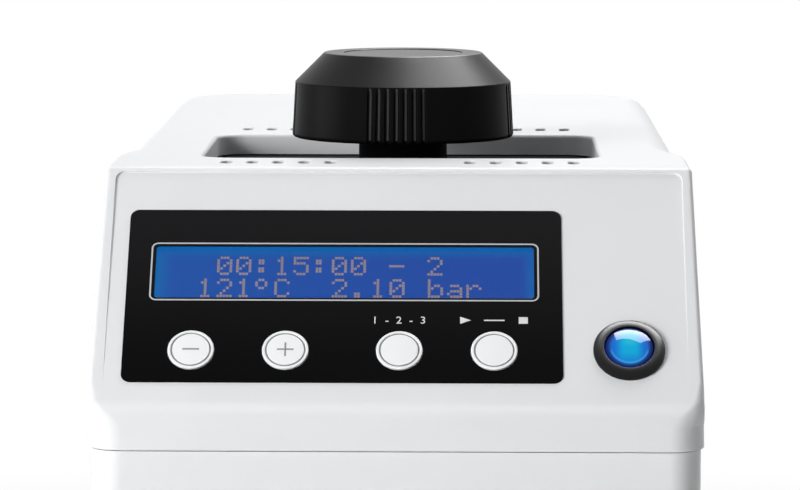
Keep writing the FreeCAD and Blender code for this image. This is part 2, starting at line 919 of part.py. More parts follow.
def make_rear_panel():
    """The metal plate that carries the fan and the connections."""
    panel = rear_panel_block(0, panel_inner_y, shell_back)
    low_y = panel_inner_y - least_radius
    reach = rear_panel_thickness + 2 * least_radius
    cutters = [rod(fan_bore, point(fan_x, low_y, fan_z), reach, BACK)]
    for x, z in fan_hole_spots() + panel_screw_spots():
        cutters.append(rod(small_screw_radius + press_gap, point(x, low_y, z), reach, BACK))
    for x in coupling_positions:
        cutters.append(rod(spigot_radius + press_gap, point(x, low_y, coupling_z), reach, BACK))
    cutters.append(rod(filter_spigot_radius + press_gap, point(filter_x, low_y, filter_z), reach, BACK))
    cutters.append(module_block(press_gap, low_y, low_y + reach))
    return panel.cut(cutters)


# --------------------------------------------------------- panel components

def make_control_foil():
    """The black foil with openings for the window and the keys."""
    foil = rounded_block(foil_left, foil_right, foil_low, foil_high, 0, foil_thickness, foil_corner)
    cutters = [window_block(0, -least_radius, least_radius, least_radius)]
    for x in key_positions.values():
        cutters.append(rod(key_radius + sliding_gap, point(x, key_line, -least_radius), 2 * least_radius))
    return on_panel(foil.cut(cutters))


def make_display_window():
    """The clear plate behind the foil's opening."""
    return on_panel(window_block(window_edge, -window_thickness, 0, least_radius))


def make_display_glass():
    """The liquid crystal cell."""
    return on_panel(window_block(window_edge, -glass_depth - glass_thickness, -glass_depth, least_radius))


def make_display_module():
    """The display's metal bezel and, behind it, its circuit board."""
    back = bezel_depth + bezel_thickness
    bezel = window_block(bezel_margin, -back, -bezel_depth, least_radius)
    pocket = window_block(window_edge + press_gap, -glass_depth - glass_thickness - press_gap, least_radius,
                          least_radius)
    bezel = bezel.cut(pocket)
    half_x = display_board_width / 2
    half_l = display_board_height / 2
    board = box(window_centre_x - half_x, window_centre_x + half_x, window_centre_l - half_l,
                window_centre_l + half_l, -back - board_thickness, -back)
    return group([on_panel(bezel), on_panel(board)])


def make_key(x):
    """A round key cap with a ring groove and a retaining flange."""
    low = -key_flange_depth - key_flange_thickness
    cap = rod(key_radius, point(x, key_line, low), key_proud - low)
    cap = cap.makeFillet(key_edge, [e for e in cap.Edges if e.BoundBox.ZMin > 0])
    flange = rod(key_flange_radius, point(x, key_line, low), key_flange_thickness)
    groove = tube(key_groove_radius + key_groove_width, key_groove_radius,
                  point(x, key_line, key_proud - key_groove_depth), least_radius)
    return on_panel(cap.fuse(flange).cut(groove))


def make_keypad_board():
    """The board under the keys, with one short-travel switch below each."""
    board = box(keypad_left, keypad_right, keypad_low, keypad_high, -keypad_front - board_thickness,
                -keypad_front)
    pieces = [on_panel(board)]
    half = switch_side / 2
    for x in key_positions.values():
        body = box(x - half, x + half, key_line - half, key_line + half, -keypad_front,
                   -keypad_front + switch_height)
        stem = rod(plunger_radius, point(x, key_line, -keypad_front + switch_height), plunger_height)
        pieces.append(on_panel(body.fuse(stem)))
    return group(pieces)


def make_button_bezel():
    """The button's ring and threaded barrel."""
    ring = rod(bezel_radius, point(button_x, button_line, 0), bezel_height)
    ring = ring.makeFillet(bezel_chamfer, [e for e in ring.Edges if e.BoundBox.ZMin > bezel_height / 2])
    barrel = rod(barrel_radius, point(button_x, button_line, -barrel_length), barrel_length)
    bore = rod(lens_radius + sliding_gap, point(button_x, button_line, -barrel_length),
               barrel_length + bezel_height)
    return on_panel(ring.fuse(barrel).cut(bore))


def make_button_lens():
    """The domed cap, hollow from behind."""
    sphere = (lens_radius ** 2 + lens_dome ** 2) / (2 * lens_dome)
    top = lens_rim + lens_dome
    stem = rod(lens_radius, point(button_x, button_line, -lens_length), lens_length + top)
    ball = Part.makeSphere(sphere, point(button_x, button_line, top - sphere))
    dome = stem.common(ball.fuse(rod(lens_radius, point(button_x, button_line, -lens_length), lens_length)))
    hollow = rod(lens_radius - lens_wall, point(button_x, button_line, -lens_length), lens_length)
    return on_panel(dome.cut(hollow))


def make_button_switch():
    """The contact block behind the button, its nut and its terminals."""
    low = -barrel_length - switch_body_length
    body = rod(barrel_radius, point(button_x, button_line, low), switch_body_length)
    reach = barrel_length - lens_length - button_travel - button_stop_gap
    plunger = rod(button_plunger_radius, point(button_x, button_line, -barrel_length), reach)
    nut = tube(button_nut_radius, barrel_radius + press_gap,
               point(button_x, button_line, -button_nut_depth - button_nut_thickness), button_nut_thickness)
    pins = []
    for side in (-1, 1):
        x = button_x + side * button_plunger_radius
        pins.append(box(x - terminal_side / 2, x + terminal_side / 2, button_line - least_radius / 2,
                        button_line + least_radius / 2, low - terminal_length, low + least_radius))
    block = fuse([body, plunger] + pins)
    return group([on_panel(block), on_panel(nut)])


# ------------------------------------------------------------ vessel group

def bolt_spots():
    """Bolt positions round the flange."""
    return [around(bolt_circle, angle, 0) for angle in bolt_angles]


def bolt_holes(low, high):
    """Holes for the flange bolts between two heights."""
    return [rod(bolt_radius + press_gap, point(spot.x, spot.y, low), high - low) for spot in bolt_spots()]


def side_port(angle, z, radius, start, length):
    """A round bar that leaves the vessel's axis at an angle."""
    turn = math.radians(angle)
    heading = point(math.cos(turn), math.sin(turn), 0)
    return rod(radius, around(start, angle, z), length, heading)


def make_vessel():
    """The drawn steel pot with its flange and welded ports."""
    pot = rod(vessel_outer, point(0, axis_y, vessel_bottom), flange_top - vessel_bottom)
    pot = pot.makeFillet(vessel_corner, [e for e in pot.Edges if e.BoundBox.ZMax < vessel_floor])
    room = rod(vessel_radius, point(0, axis_y, vessel_floor), vessel_depth + least_radius)
    room = room.makeFillet(vessel_corner - vessel_wall,
                           [e for e in room.Edges if e.BoundBox.ZMax < vessel_floor + least_radius])
    flange = rod(flange_radius, point(0, axis_y, flange_low), flange_thickness)
    ports = [rod(port_radius, point(0, axis_y, vessel_bottom - port_length), port_length + vessel_wall)]
    bores = [rod(port_bore, point(0, axis_y, vessel_bottom - port_length), 2 * port_length + vessel_wall)]
    for name, angle in port_angles.items():
        z = port_heights[name]
        inside = vessel_radius + vessel_wall / 2
        ports.append(side_port(angle, z, port_radius, inside, port_end - inside))
        bores.append(side_port(angle, z, port_bore, vessel_radius - vessel_wall, port_end))
    whole = pot.fuse([flange] + ports)
    return whole.cut([room] + bores + bolt_holes(flange_low - least_radius,
                                                 flange_top + least_radius)).removeSplitter()


def make_claw_ring():
    """The ring on the flange whose two claws hold the lock bar down."""
    low = flange_top
    ring_top = low + claw_ring_height
    centre = (0, axis_y)
    pieces = [tube(flange_radius, claw_ring_inner, point(0, axis_y, low), claw_ring_height)]
    for side in (0, 180):
        angle = claw_angle + side
        pieces.append(sector(claw_post_inner, flange_radius, ring_top - least_radius,
                             claw_low + claw_thickness,
                             angle, claw_span, centre))
        pieces.append(sector(claw_inner, flange_radius, claw_low, claw_low + claw_thickness, angle,
                             claw_span, centre))
    return fuse(pieces).cut(bolt_holes(low - least_radius, ring_top + least_radius))


def make_flange_bolts():
    """Bolts and nuts that clamp claw ring, flange and chassis."""
    ring_top = flange_top + claw_ring_height
    nut_low = chassis_low - nut_height
    pieces = []
    for spot in bolt_spots():
        shank = rod(bolt_radius, point(spot.x, spot.y, nut_low - least_radius),
                    ring_top - nut_low + least_radius)
        head = rod(bolt_head_radius, point(spot.x, spot.y, ring_top), bolt_head_height)
        key = hexagon(bolt_radius, point(spot.x, spot.y, ring_top + least_radius), bolt_head_height)
        pieces.append(shank.fuse(head).cut(key).removeSplitter())
        nut = hexagon(bolt_head_radius, point(spot.x, spot.y, nut_low), nut_height)
        pieces.append(nut.cut(rod(bolt_radius + press_gap, point(spot.x, spot.y, nut_low), nut_height)))
    return group(pieces)


def hexagon(radius, start, height):
    """A six-sided prism that stands on its start point."""
    corners = []
    for index in range(hexagon_sides):
        turn = 2 * math.pi * index / hexagon_sides
        corners.append(start + point(radius * math.cos(turn), radius * math.sin(turn), 0))
    return Part.Face(Part.makePolygon(corners + corners[:1])).extrude(point(0, 0, height))


def make_chassis():
    """The bent steel frame: a deck under the flange on two legs."""
    deck = box(-chassis_half, chassis_half, front + chassis_front, chassis_back, chassis_low, chassis_top)
    pieces = [deck]
    for side in (-1, 1):
        outer = side * chassis_half
        inner = side * (chassis_half - chassis_thickness)
        foot = side * (chassis_half - chassis_flange)
        pieces.append(box(min(outer, inner), max(outer, inner), front + chassis_front, chassis_back,
                          base_top, chassis_top))
        pieces.append(box(min(outer, foot), max(outer, foot), front + chassis_front, chassis_back,
                          base_top, base_top + chassis_thickness))
    frame = fuse(pieces)
    hole = rod(vessel_outer + sliding_gap, point(0, axis_y, chassis_low - least_radius),
               2 * chassis_thickness)
    return frame.cut([hole] + bolt_holes(chassis_low - least_radius, chassis_top + least_radius))


def port_clearances(start):
    """Bores that let the side ports through what surrounds the vessel."""
    return [side_port(angle, port_heights[name], port_radius + sliding_gap, start, far)
            for name, angle in port_angles.items()]


def make_insulation():
    """The felt jacket, closed below apart from the bottom port."""
    high = chassis_low - insulation_top_gap
    jacket = rod(insulation_outer, point(0, axis_y, insulation_low), high - insulation_low)
    room = rod(insulation_inner, point(0, axis_y, vessel_bottom - seat_gap), high)
    bottom = rod(port_radius + sliding_gap, point(0, axis_y, 0), vessel_bottom)
    return jacket.cut([room, bottom] + port_clearances(vessel_radius))


def make_heater_band():
    """The band heater clamped round the vessel."""
    return tube(heater_inner + heater_thickness, heater_inner, point(0, axis_y, heater_low),
                heater_high - heater_low)


def make_safety_valve():
    """The relief valve on the vessel's right-hand port."""
    start = port_end
    nut = side_port(port_angles["relief"], port_heights["relief"], relief_nut_radius, start,
                    relief_nut_length)
    bore_end = relief_nut_length + relief_body_length
    body = side_port(port_angles["relief"], port_heights["relief"], relief_body_radius,
                     start + relief_nut_length, relief_body_length)
    bore = side_port(port_angles["relief"], port_heights["relief"], port_bore, start,
                     bore_end - least_radius)
    return nut.fuse(body).cut(bore).removeSplitter()


def make_vessel_sensors():
    """The temperature probe and the pressure transducer."""
    pieces = []
    for name in ("warmth", "pressure"):
        angle = port_angles[name]
        nut = side_port(angle, port_heights[name], sensor_nut_radius, port_end, sensor_nut_length)
        can = side_port(angle, port_heights[name], sensor_can_radius, port_end + sensor_nut_length,
                        sensor_can_length)
        probe = side_port(angle, port_heights[name], sensor_probe_radius, vessel_radius - vessel_wall,
                          port_end)
        body = nut.fuse([can, probe.common(rod(port_end + least_radius, point(0, axis_y, 0), far))])
        pieces.append(body.removeSplitter())
    return group(pieces)


# --------------------------------------------------------------- lid group

def make_recess_liner():
    """The black frame that lines the recess round the lid."""
    outer = recess_block(-press_gap, liner_low, floor_z)
    return outer.cut(recess_block(-liner_wall, liner_low - least_radius, floor_z + least_radius))


def make_lid_plate():
    """The steel disc that closes the vessel, with a groove for its seal."""
    disc = rod(lid_plate_radius, point(0, axis_y, lid_plate_low), lid_plate_thickness)
    disc = disc.makeChamfer(least_radius / 2,
                            [e for e in disc.Edges if e.BoundBox.ZMin > lid_plate_low + least_radius])
    groove = tube(seal_outer + press_gap, seal_inner - press_gap, point(0, axis_y, lid_plate_low),
                  seal_depth)
    return disc.cut(groove)


def make_lid_seal():
    """The silicone ring in the lid plate's groove."""
    low = lid_plate_low - sliding_gap / 2
    high = lid_plate_low + seal_depth - press_gap
    return tube(seal_outer, seal_inner, point(0, axis_y, low), high - low)


def make_lid_cover():
    """The black plate that fills the recess and carries the collar."""
    inset = liner_wall + lid_cover_gap
    plate = recess_block(-inset, lid_cover_low, lid_cover_top)
    plate = plate.makeFillet(lid_cover_edge,
                             [e for e in plate.Edges if e.BoundBox.ZMin > lid_cover_top - least_radius / 2])
    bore = rod(bush_radius + press_gap, point(0, axis_y, lid_cover_low), lid_cover_thickness)
    return plate.cut(bore)


def make_lid_collar():
    """The collar on the lid cover in which the knob's spindle turns."""
    tall = rod(collar_radius, point(0, axis_y, lid_cover_top), collar_rise)
    foot = rod(collar_foot_radius, point(0, axis_y, lid_cover_top), collar_foot_height)
    bore = rod(bush_radius + press_gap, point(0, axis_y, lid_cover_top), collar_rise)
    return fuse([tall, foot]).cut(bore)


def make_spindle_bush():
    """The flanged bush between the spindle and the lid."""
    sleeve = rod(bush_radius, point(0, axis_y, lid_cover_low), collar_top - lid_cover_low)
    flange = rod(bush_flange_radius, point(0, axis_y, lid_cover_low - bush_flange_thickness),
                 bush_flange_thickness)
    bore = rod(spindle_radius + running_gap, point(0, axis_y, lid_cover_low - bush_flange_thickness),
               collar_top - lid_cover_low + bush_flange_thickness)
    return fuse([sleeve, flange]).cut(bore)


def make_lid_pillars():
    """Pillars that tie the lid cover to the lid plate."""
    return group([rod(pillar_radius, around(pillar_circle, angle, lid_plate_top),
                      lid_cover_low - lid_plate_top)
                  for angle in pillar_angles])


def make_basket_rod():
    """The rod that hangs the basket from the lid plate, with its nut."""
    rod_low = basket_bottom - basket_nut_height
    stem = rod(rod_radius, point(0, axis_y, rod_low), lid_plate_low - rod_low)
    nut = hexagon(basket_nut_radius, point(0, axis_y, rod_low), basket_nut_height)
    return fuse([stem, nut])


def make_basket():
    """The slotted basket for instruments, which hangs inside the vessel."""
    outer = rod(basket_radius, point(0, axis_y, basket_bottom), basket_height)
    room = rod(basket_radius - basket_wall, point(0, axis_y, basket_bottom + basket_wall), basket_height)
    cutters = [room, rod(rod_radius + press_gap, point(0, axis_y, basket_bottom), basket_wall)]
    slot_low = basket_bottom + basket_slot_margin
    slot_high = basket_bottom + basket_height - basket_slot_margin
    middle = (slot_low + slot_high) / 2
    half = basket_slot_width / 2
    for low, high in ((slot_low, middle - basket_slot_gap / 2), (middle + basket_slot_gap / 2, slot_high)):
        for index in range(basket_slot_count // 2):
            slot = rounded_block(-half, half, axis_y - far, axis_y + far, low, high, least_radius)
            slot.rotate(point(0, axis_y, 0), UP, index * 360 / basket_slot_count)
            cutters.append(slot)
    for index in range(basket_slot_count):
        spot = around(basket_radius * 2 / 3, index * 360 / basket_slot_count, basket_bottom)
        cutters.append(rod(half, spot, basket_wall))
    return outer.cut(cutters)


# -------------------------------------------------------------- knob group

def make_knob():
    """The large handle: a drafted drum with a conical top, hollow below."""
    shoulder_z = knob_low + knob_shoulder_rise
    corners = [point(0, 0, knob_low), point(knob_radius, 0, knob_low),
               point(knob_shoulder_radius, 0, shoulder_z),
               point(knob_top_radius, 0, knob_top), point(0, 0, knob_top)]
    outline = rounded_loop(corners, [0, knob_edge, knob_shoulder_edge, knob_top_edge, 0])
    drum = Part.Face(outline).revolve(point(0, 0, 0), UP, 360)
    drum.translate(point(0, axis_y, 0))
    hollow_top = knob_top - knob_roof
    hollow = tube(knob_shoulder_radius - knob_wall, hub_radius, point(0, axis_y, knob_low),
                  hollow_top - knob_low - knob_wall)
    collar_room = rod(collar_radius + sliding_gap, point(0, axis_y, knob_low),
                      collar_top + sliding_gap - knob_low)
    cutters = [hollow, collar_room]
    cutters.append(rod(spindle_radius + press_gap, point(0, axis_y, knob_low), spindle_shoulder - knob_low))
    cutters.append(rod(spindle_thread_radius + press_gap, point(0, axis_y, knob_low), knob_rise))
    cutters.append(rod(spindle_nut_radius + sliding_gap, point(0, axis_y, nut_seat), knob_rise))
    cutters.append(rod(cap_radius + press_gap, point(0, axis_y, knob_top - cap_sink - cap_thickness),
                       knob_rise))
    for turn in range(groove_groups):
        for index in range(groove_count):
            offset = (index - (groove_count - 1) / 2) * groove_pitch_angle
            angle = turn * 360 / groove_groups + groove_turn + offset
            spot = around(knob_radius + groove_centre_out, angle, knob_low)
            cutters.append(rod(groove_radius, spot, knob_shoulder_rise - groove_radius))
    return drum.cut(cutters)


def make_knob_cap():
    """The disc pressed into the knob's top over the spindle nut."""
    low = knob_top - cap_sink - cap_thickness
    disc = rod(cap_radius, point(0, axis_y, low), cap_thickness)
    return disc.makeFillet(cap_sink, [e for e in disc.Edges if e.BoundBox.ZMin > low + least_radius])


def make_spindle():
    """The steel shaft from the knob down to the lock bar."""
    tail = bar_low + least_radius
    neck = ring_seat()
    shaft = rod(spindle_radius, point(0, axis_y, bar_top), spindle_shoulder - bar_top)
    thread = rod(spindle_thread_radius, point(0, axis_y, spindle_shoulder),
                 nut_seat + spindle_nut_height - spindle_shoulder)
    square = box(-spindle_thread_radius, spindle_thread_radius, axis_y - spindle_thread_radius,
                 axis_y + spindle_thread_radius, tail, bar_top)
    groove = tube(spindle_radius + least_radius, spindle_radius - least_radius, point(0, axis_y, neck),
                  ring_thickness)
    return fuse([shaft, thread, square]).cut(groove)


def ring_seat():
    """Height of the groove for the retaining ring, just under the bush."""
    return lid_cover_low - bush_flange_thickness - sliding_gap - ring_thickness


def make_spindle_fasteners():
    """The nut on top of the spindle and the ring that keeps it in the bush."""
    nut = hexagon(spindle_nut_radius, point(0, axis_y, nut_seat), spindle_nut_height)
    nut = nut.cut(rod(spindle_thread_radius + press_gap, point(0, axis_y, nut_seat), spindle_nut_height))
    ring = tube(ring_radius, spindle_radius - least_radius + press_gap,
                point(0, axis_y, ring_seat() + press_gap),
                ring_thickness - 2 * press_gap)
    gap = box(-least_radius, least_radius, axis_y, axis_y + ring_radius + least_radius, ring_seat(),
              ring_seat() + ring_thickness)
    return group([nut, ring.cut(gap)])


def make_lock_bar():
    """The bar that swings under the claws; it is square-holed on the spindle."""
    half = lock_bar_width / 2
    blank = box(-lock_bar_half_length, lock_bar_half_length, axis_y - half, axis_y + half, bar_low, bar_top)
    bar = blank.common(rod(lock_bar_half_length, point(0, axis_y, bar_low), lock_bar_thickness))
    bar = bar.fuse(rod(half + least_radius, point(0, axis_y, bar_low), lock_bar_thickness)).removeSplitter()
    side = spindle_thread_radius + press_gap
    return bar.cut(box(-side, side, axis_y - side, axis_y + side, bar_low, bar_top))


# --------------------------------------------------------- rear compartment

def hose(route):
    """A silicone hose that slips over the spigots at its ends."""
    return pipe(route, hose_outer, hose_inner, hose_bend)


def spigot(start, axis, length):
    """A hollow stub for a hose."""
    return rod(spigot_radius, start, length, axis), rod(spigot_bore, start, length, axis)


def make_water_tank():
    """The closed tank for feed water, with a filler stub and an outlet stub."""
    low_y = tank_front
    high_y = tank_rear
    high_z = base_top + tank_height
    shell = rounded_block(tank_left, tank_right, low_y, high_y, base_top, high_z, tank_corner)
    room = rounded_block(tank_left + tank_wall, tank_right - tank_wall, low_y + tank_wall,
                         high_y - tank_wall,
                         base_top + tank_wall, high_z - tank_wall, tank_corner - tank_wall)
    outlet, outlet_bore = spigot(point(tank_right - tank_wall, tank_port_y, tank_port_z), RIGHT,
                                 spigot_length + tank_wall)
    filler, filler_bore = spigot(point(tank_filler_x, tank_filler_y, high_z - tank_wall), UP,
                                 spigot_length + tank_wall)
    stem_hole = rod(float_stem_radius + press_gap, point(float_x, float_y, high_z - 2 * tank_wall),
                    3 * tank_wall)
    return shell.cut(room).fuse([outlet, filler]).cut([outlet_bore, filler_bore, stem_hole])


def make_float_stem():
    """The level sensor's stem, screwed into the tank's roof."""
    high_z = base_top + tank_height
    low = base_top + tank_wall + press_gap
    stem = rod(float_stem_radius, point(float_x, float_y, low), high_z - low)
    head = rod(float_head_radius, point(float_x, float_y, high_z), float_head_height)
    return fuse([stem, head])


def make_tank_float():
    """The float that rises with the water."""
    low = base_top + tank_wall + sliding_gap
    return tube(float_radius, float_stem_radius + sliding_gap, point(float_x, float_y, low), float_height)


def make_feed_pump():
    """The feed pump on its feet, with an inlet and an outlet stub."""
    low = base_top + pump_foot
    body = box(pump_left, pump_right, front + pump_front, front + pump_rear, low, low + pump_height)
    body = body.makeFillet(pump_edge, [e for e in body.Edges if e.BoundBox.ZLength > pump_edge])
    feet = []
    for x in (pump_left + pump_edge, pump_right - pump_edge):
        for y in (front + pump_front + pump_edge, front + pump_rear - pump_edge):
            feet.append(rod(pump_edge - least_radius, point(x, y, base_top), pump_foot + least_radius))
    inlet, inlet_bore = spigot(point(pump_left - spigot_length, tank_port_y, tank_port_z), RIGHT,
                               2 * spigot_length)
    outlet, outlet_bore = spigot(point(valve_positions[0], pump_line, low + pump_height - spigot_length),
                                 UP, 2 * spigot_length)
    return body.fuse(feet + [inlet, outlet]).cut([inlet_bore, outlet_bore]).removeSplitter()


def make_steam_valves():
    """Two solenoid valves: a brass body and a coil each."""
    pieces = []
    half = valve_side / 2
    y = front + valve_line
    body_top = valve_low + valve_body_height
    for index, x in enumerate(valve_positions):
        body = box(x - half, x + half, y - half, y + half, valve_low, body_top)
        front_bore = rod(pipe_radius + press_gap, point(x, y - half, valve_port_z), half / 2, BACK)
        cutters = [front_bore]
        if index == 0:
            stub, stub_bore = spigot(point(x, y, valve_low - spigot_length), UP,
                                     spigot_length + least_radius)
            body = body.fuse(stub)
            cutters.append(stub_bore)
        else:
            cutters.append(rod(pipe_radius + press_gap, point(x, y + half / 2, valve_port_z), half, BACK))
        pieces.append(body.cut(cutters).removeSplitter())
        coil = rod(coil_radius, point(x, y, body_top), coil_height)
        cap = rod(coil_radius / 2, point(x, y, body_top + coil_height), coil_cap_height)
        pieces.append(fuse([coil, cap]))
    return group(pieces)


def make_valve_bracket():
    """The bent plate that carries the valves."""
    low_y = front + bracket_front
    plate = box(bracket_left, bracket_right, low_y, low_y + bracket_thickness, base_top,
                base_top + bracket_height)
    foot = box(bracket_left, bracket_right, low_y, low_y + bracket_foot, base_top,
               base_top + bracket_thickness)
    hole = rod(pipe_radius + sliding_gap, point(valve_positions[1], low_y - least_radius, valve_port_z),
               2 * bracket_thickness, BACK)
    return fuse([plate, foot]).cut(hole)


def condenser_route():
    """The condenser tube from the exhaust valve to the drain coupling."""
    left = coupling_positions[0]
    inner = left + fin_left
    start = point(valve_positions[1], front + valve_line + valve_side / 2 + press_gap, valve_port_z)
    route = [start, point(valve_positions[1], front + bracket_front + 2 * pipe_bend, valve_port_z)]
    route.append(point(condenser_right, condenser_line - fin_depth / 2 - pipe_bend, condenser_rows[0]))
    route.append(point(condenser_right, condenser_line, condenser_rows[0]))
    route.append(point(inner, condenser_line, condenser_rows[0]))
    route.append(point(inner, condenser_line, condenser_rows[1]))
    route.append(point(condenser_right, condenser_line, condenser_rows[1]))
    route.append(point(condenser_right, condenser_line, condenser_rows[2]))
    route.append(point(left, condenser_line, condenser_rows[2]))
    bend_y = coupling_tail() - 2 * pipe_bend
    route.append(point(left, bend_y, condenser_rows[2]))
    route.append(point(left, bend_y, coupling_z))
    route.append(point(left, coupling_tail(), coupling_z))
    return route


def coupling_tail():
    """Where the hose couplings end inside the housing."""
    return panel_inner_y - coupling_inner


def make_condenser():
    """A finned tube that cools the exhaust before the drain."""
    low_y = condenser_line - fin_depth / 2
    high_y = condenser_line + fin_depth / 2
    pieces = [pipe(condenser_route(), pipe_radius, pipe_bore, pipe_bend)]
    for index in range(fin_count):
        x = fin_left + index * fin_pitch
        last = index in (0, fin_count - 1)
        thickness = end_plate_thickness if last else fin_thickness
        low_z = base_top if last else fin_low
        fin = box(x, x + thickness, low_y, high_y, low_z, fin_high)
        holes = [rod(pipe_radius + press_gap, point(x - least_radius, condenser_line, z), fin_pitch,
                     RIGHT) for z in condenser_rows]
        pieces.append(fin.cut(holes))
    return group(pieces)


def make_steam_pipes():
    """Copper pipes between the vessel and the two valves."""
    valve_face = front + valve_line - valve_side / 2
    back_y = chassis_back + pipe_radius
    steam = [around(port_end + press_gap, port_angles["steam"], port_heights["steam"])]
    steam.append(point(0, back_y, port_heights["steam"]))
    steam.append(point(valve_positions[0], back_y, valve_port_z))
    steam.append(point(valve_positions[0], valve_face + valve_side / 4 - press_gap, valve_port_z))
    low = base_top + exhaust_clearance
    run_y = front + pump_front - 2 * pipe_radius
    bottom = vessel_bottom - port_length
    exhaust = [point(0, axis_y, bottom - press_gap), point(0, axis_y, low), point(0, run_y, low)]
    exhaust.append(point(valve_positions[1], run_y, low))
    exhaust.append(point(valve_positions[1], run_y, valve_port_z))
    exhaust.append(point(valve_positions[1], valve_face + valve_side / 4 - press_gap, valve_port_z))
    return group([pipe(steam, pipe_radius, pipe_bore, pipe_bend),
                  pipe(exhaust, pipe_radius, pipe_bore, exhaust_bend)])


def make_water_hoses():
    """Silicone hoses: coupling to tank, tank to pump, pump to valve."""
    high_z = base_top + tank_height
    fill_z = high_z + hose_lift
    bend_y = tank_rear + 2 * hose_bend
    fill = [point(tank_filler_x, coupling_tail(), coupling_z), point(tank_filler_x, bend_y, coupling_z)]
    fill.append(point(tank_filler_x, bend_y, fill_z))
    fill.append(point(tank_filler_x, tank_filler_y, fill_z))
    fill.append(point(tank_filler_x, tank_filler_y, high_z + press_gap))
    feed = tube(hose_outer, hose_inner, point(tank_right + press_gap, tank_port_y, tank_port_z),
                pump_left - tank_right - 2 * press_gap, RIGHT)
    pump_top = base_top + pump_foot + pump_height
    rise = tube(hose_outer, hose_inner, point(valve_positions[0], pump_line, pump_top + press_gap),
                valve_low - pump_top - 2 * press_gap)
    return group([hose(fill), feed, rise])


# ------------------------------------------------------- rear panel fittings

def make_fan_frame():
    """The square fan frame with its motor mount and struts."""
    half = fan_side / 2
    low_y = panel_inner_y - fan_depth
    frame = upright_block(fan_x - half, fan_x + half, low_y, panel_inner_y, fan_z - half, fan_z + half,
                          fan_corner)
    frame = frame.cut(rod(fan_bore, point(fan_x, low_y, fan_z), fan_depth, BACK))
    mount = rod(fan_hub_radius, point(fan_x, low_y, fan_z), fan_hub_thickness, BACK)
    struts = []
    for angle in brace_angles:
        strut = box(0, fan_bore + least_radius, low_y, low_y + fan_hub_thickness, -strut_width / 2,
                    strut_width / 2)
        strut.rotate(point(0, 0, 0), BACK, angle)
        strut.translate(point(fan_x, 0, fan_z))
        struts.append(strut)
    whole = frame.fuse([mount] + struts)
    holes = [rod(fan_shaft_radius + running_gap, point(fan_x, low_y, fan_z), fan_hub_thickness, BACK)]
    for x, z in fan_hole_spots():
        holes.append(rod(small_screw_radius + press_gap, point(x, low_y, z), fan_depth, BACK))
    return whole.cut(holes).removeSplitter()


def make_fan_rotor():
    """The rotor: hub, shaft and twisted blades."""
    low_y = panel_inner_y - fan_depth + fan_hub_thickness + sliding_gap
    hub = rod(rotor_hub_radius, point(fan_x, low_y, fan_z), rotor_depth, BACK)
    shaft = rod(fan_shaft_radius, point(fan_x, low_y - fan_hub_thickness, fan_z),
                fan_hub_thickness + least_radius, BACK)
    blades = []
    middle = low_y + rotor_depth / 2
    chord = rotor_depth - 2 * least_radius
    for index in range(blade_count):
        blade = box(rotor_hub_radius - least_radius, rotor_radius, -chord / 2, chord / 2,
                    -blade_thickness / 2, blade_thickness / 2)
        blade.rotate(point(0, 0, 0), RIGHT, blade_twist)
        blade.rotate(point(0, 0, 0), BACK, index * 360 / blade_count)
        blade.translate(point(fan_x, middle, fan_z))
        blades.append(blade)
    reach = rod(rotor_radius, point(fan_x, low_y, fan_z), rotor_depth, BACK)
    return hub.fuse([shaft] + [blade.common(reach) for blade in blades]).removeSplitter()


def make_fan_guard():
    """The finger guard on the outside of the rear panel."""
    pieces = []
    for radius in guard_rings:
        pieces.append(tube(radius + guard_ring_width, radius, point(fan_x, shell_back, fan_z),
                           guard_thickness, BACK))
    reach = fan_side / 2 - fan_hole_inset
    for angle in brace_angles:
        arm = box(guard_rings[0], reach * math.sqrt(2), shell_back, shell_back + guard_thickness,
                  -guard_ring_width, guard_ring_width)
        arm.rotate(point(0, 0, 0), BACK, angle)
        arm.translate(point(fan_x, 0, fan_z))
        pieces.append(arm)
    for x, z in fan_hole_spots():
        pieces.append(rod(guard_ear_radius, point(x, shell_back, z), guard_thickness, BACK))
    holes = [rod(small_screw_radius + press_gap, point(x, shell_back, z), guard_thickness, BACK)
             for x, z in fan_hole_spots()]
    return fuse(pieces).cut(holes)


def module_block(grow, y0, y1):
    """The mains module's body outline as a block along Y."""
    half_x = module_width / 2 + grow
    half_z = module_height / 2 + grow
    return upright_block(module_x - half_x, module_x + half_x, y0, y1, module_z - half_z, module_z + half_z,
                         least_radius)


def make_mains_module():
    """The mains inlet with its pins, drawer slot and rocker opening."""
    inner_y = panel_inner_y - module_depth
    face_y = shell_back + module_flange
    body = module_block(0, inner_y, shell_back)
    flange = module_block(module_flange_margin, shell_back, face_y)
    half_w = socket_width / 2
    half_h = socket_height / 2
    socket_z = module_z + socket_offset
    cavity = upright_block(module_x - half_w, module_x + half_w, face_y - socket_depth, face_y,
                           socket_z - half_h, socket_z + half_h, socket_corner)
    slot = drawer_block(sliding_gap, face_y - drawer_depth - sliding_gap, face_y)
    rocker_room = rod(rocker_radius + sliding_gap, point(rocker_start(), rocker_axis_y, rocker_z),
                      rocker_width + 2 * sliding_gap, RIGHT)
    whole = body.fuse(flange).cut([cavity, slot, rocker_room])
    pins = []
    for x, z in ((-pin_spacing, 0), (pin_spacing, 0), (0, pin_offset)):
        low_x = module_x + x - pin_width / 2
        low_z = socket_z + z - pin_height / 2
        pins.append(box(low_x, low_x + pin_width, face_y - socket_depth - least_radius,
                        face_y - socket_depth + pin_length,
                        low_z, low_z + pin_height))
    return whole.fuse(pins).removeSplitter()


def rocker_start():
    """Left end of the rocker's room in the module."""
    return module_x - rocker_width / 2 - sliding_gap


def drawer_block(grow, y0, y1):
    """The fuse drawer's outline as a block along Y."""
    half = drawer_width / 2 + grow
    low = module_z + drawer_offset - drawer_height / 2 - grow
    return upright_block(module_x - half, module_x + half, y0, y1, low, low + drawer_height + 2 * grow,
                         least_radius)


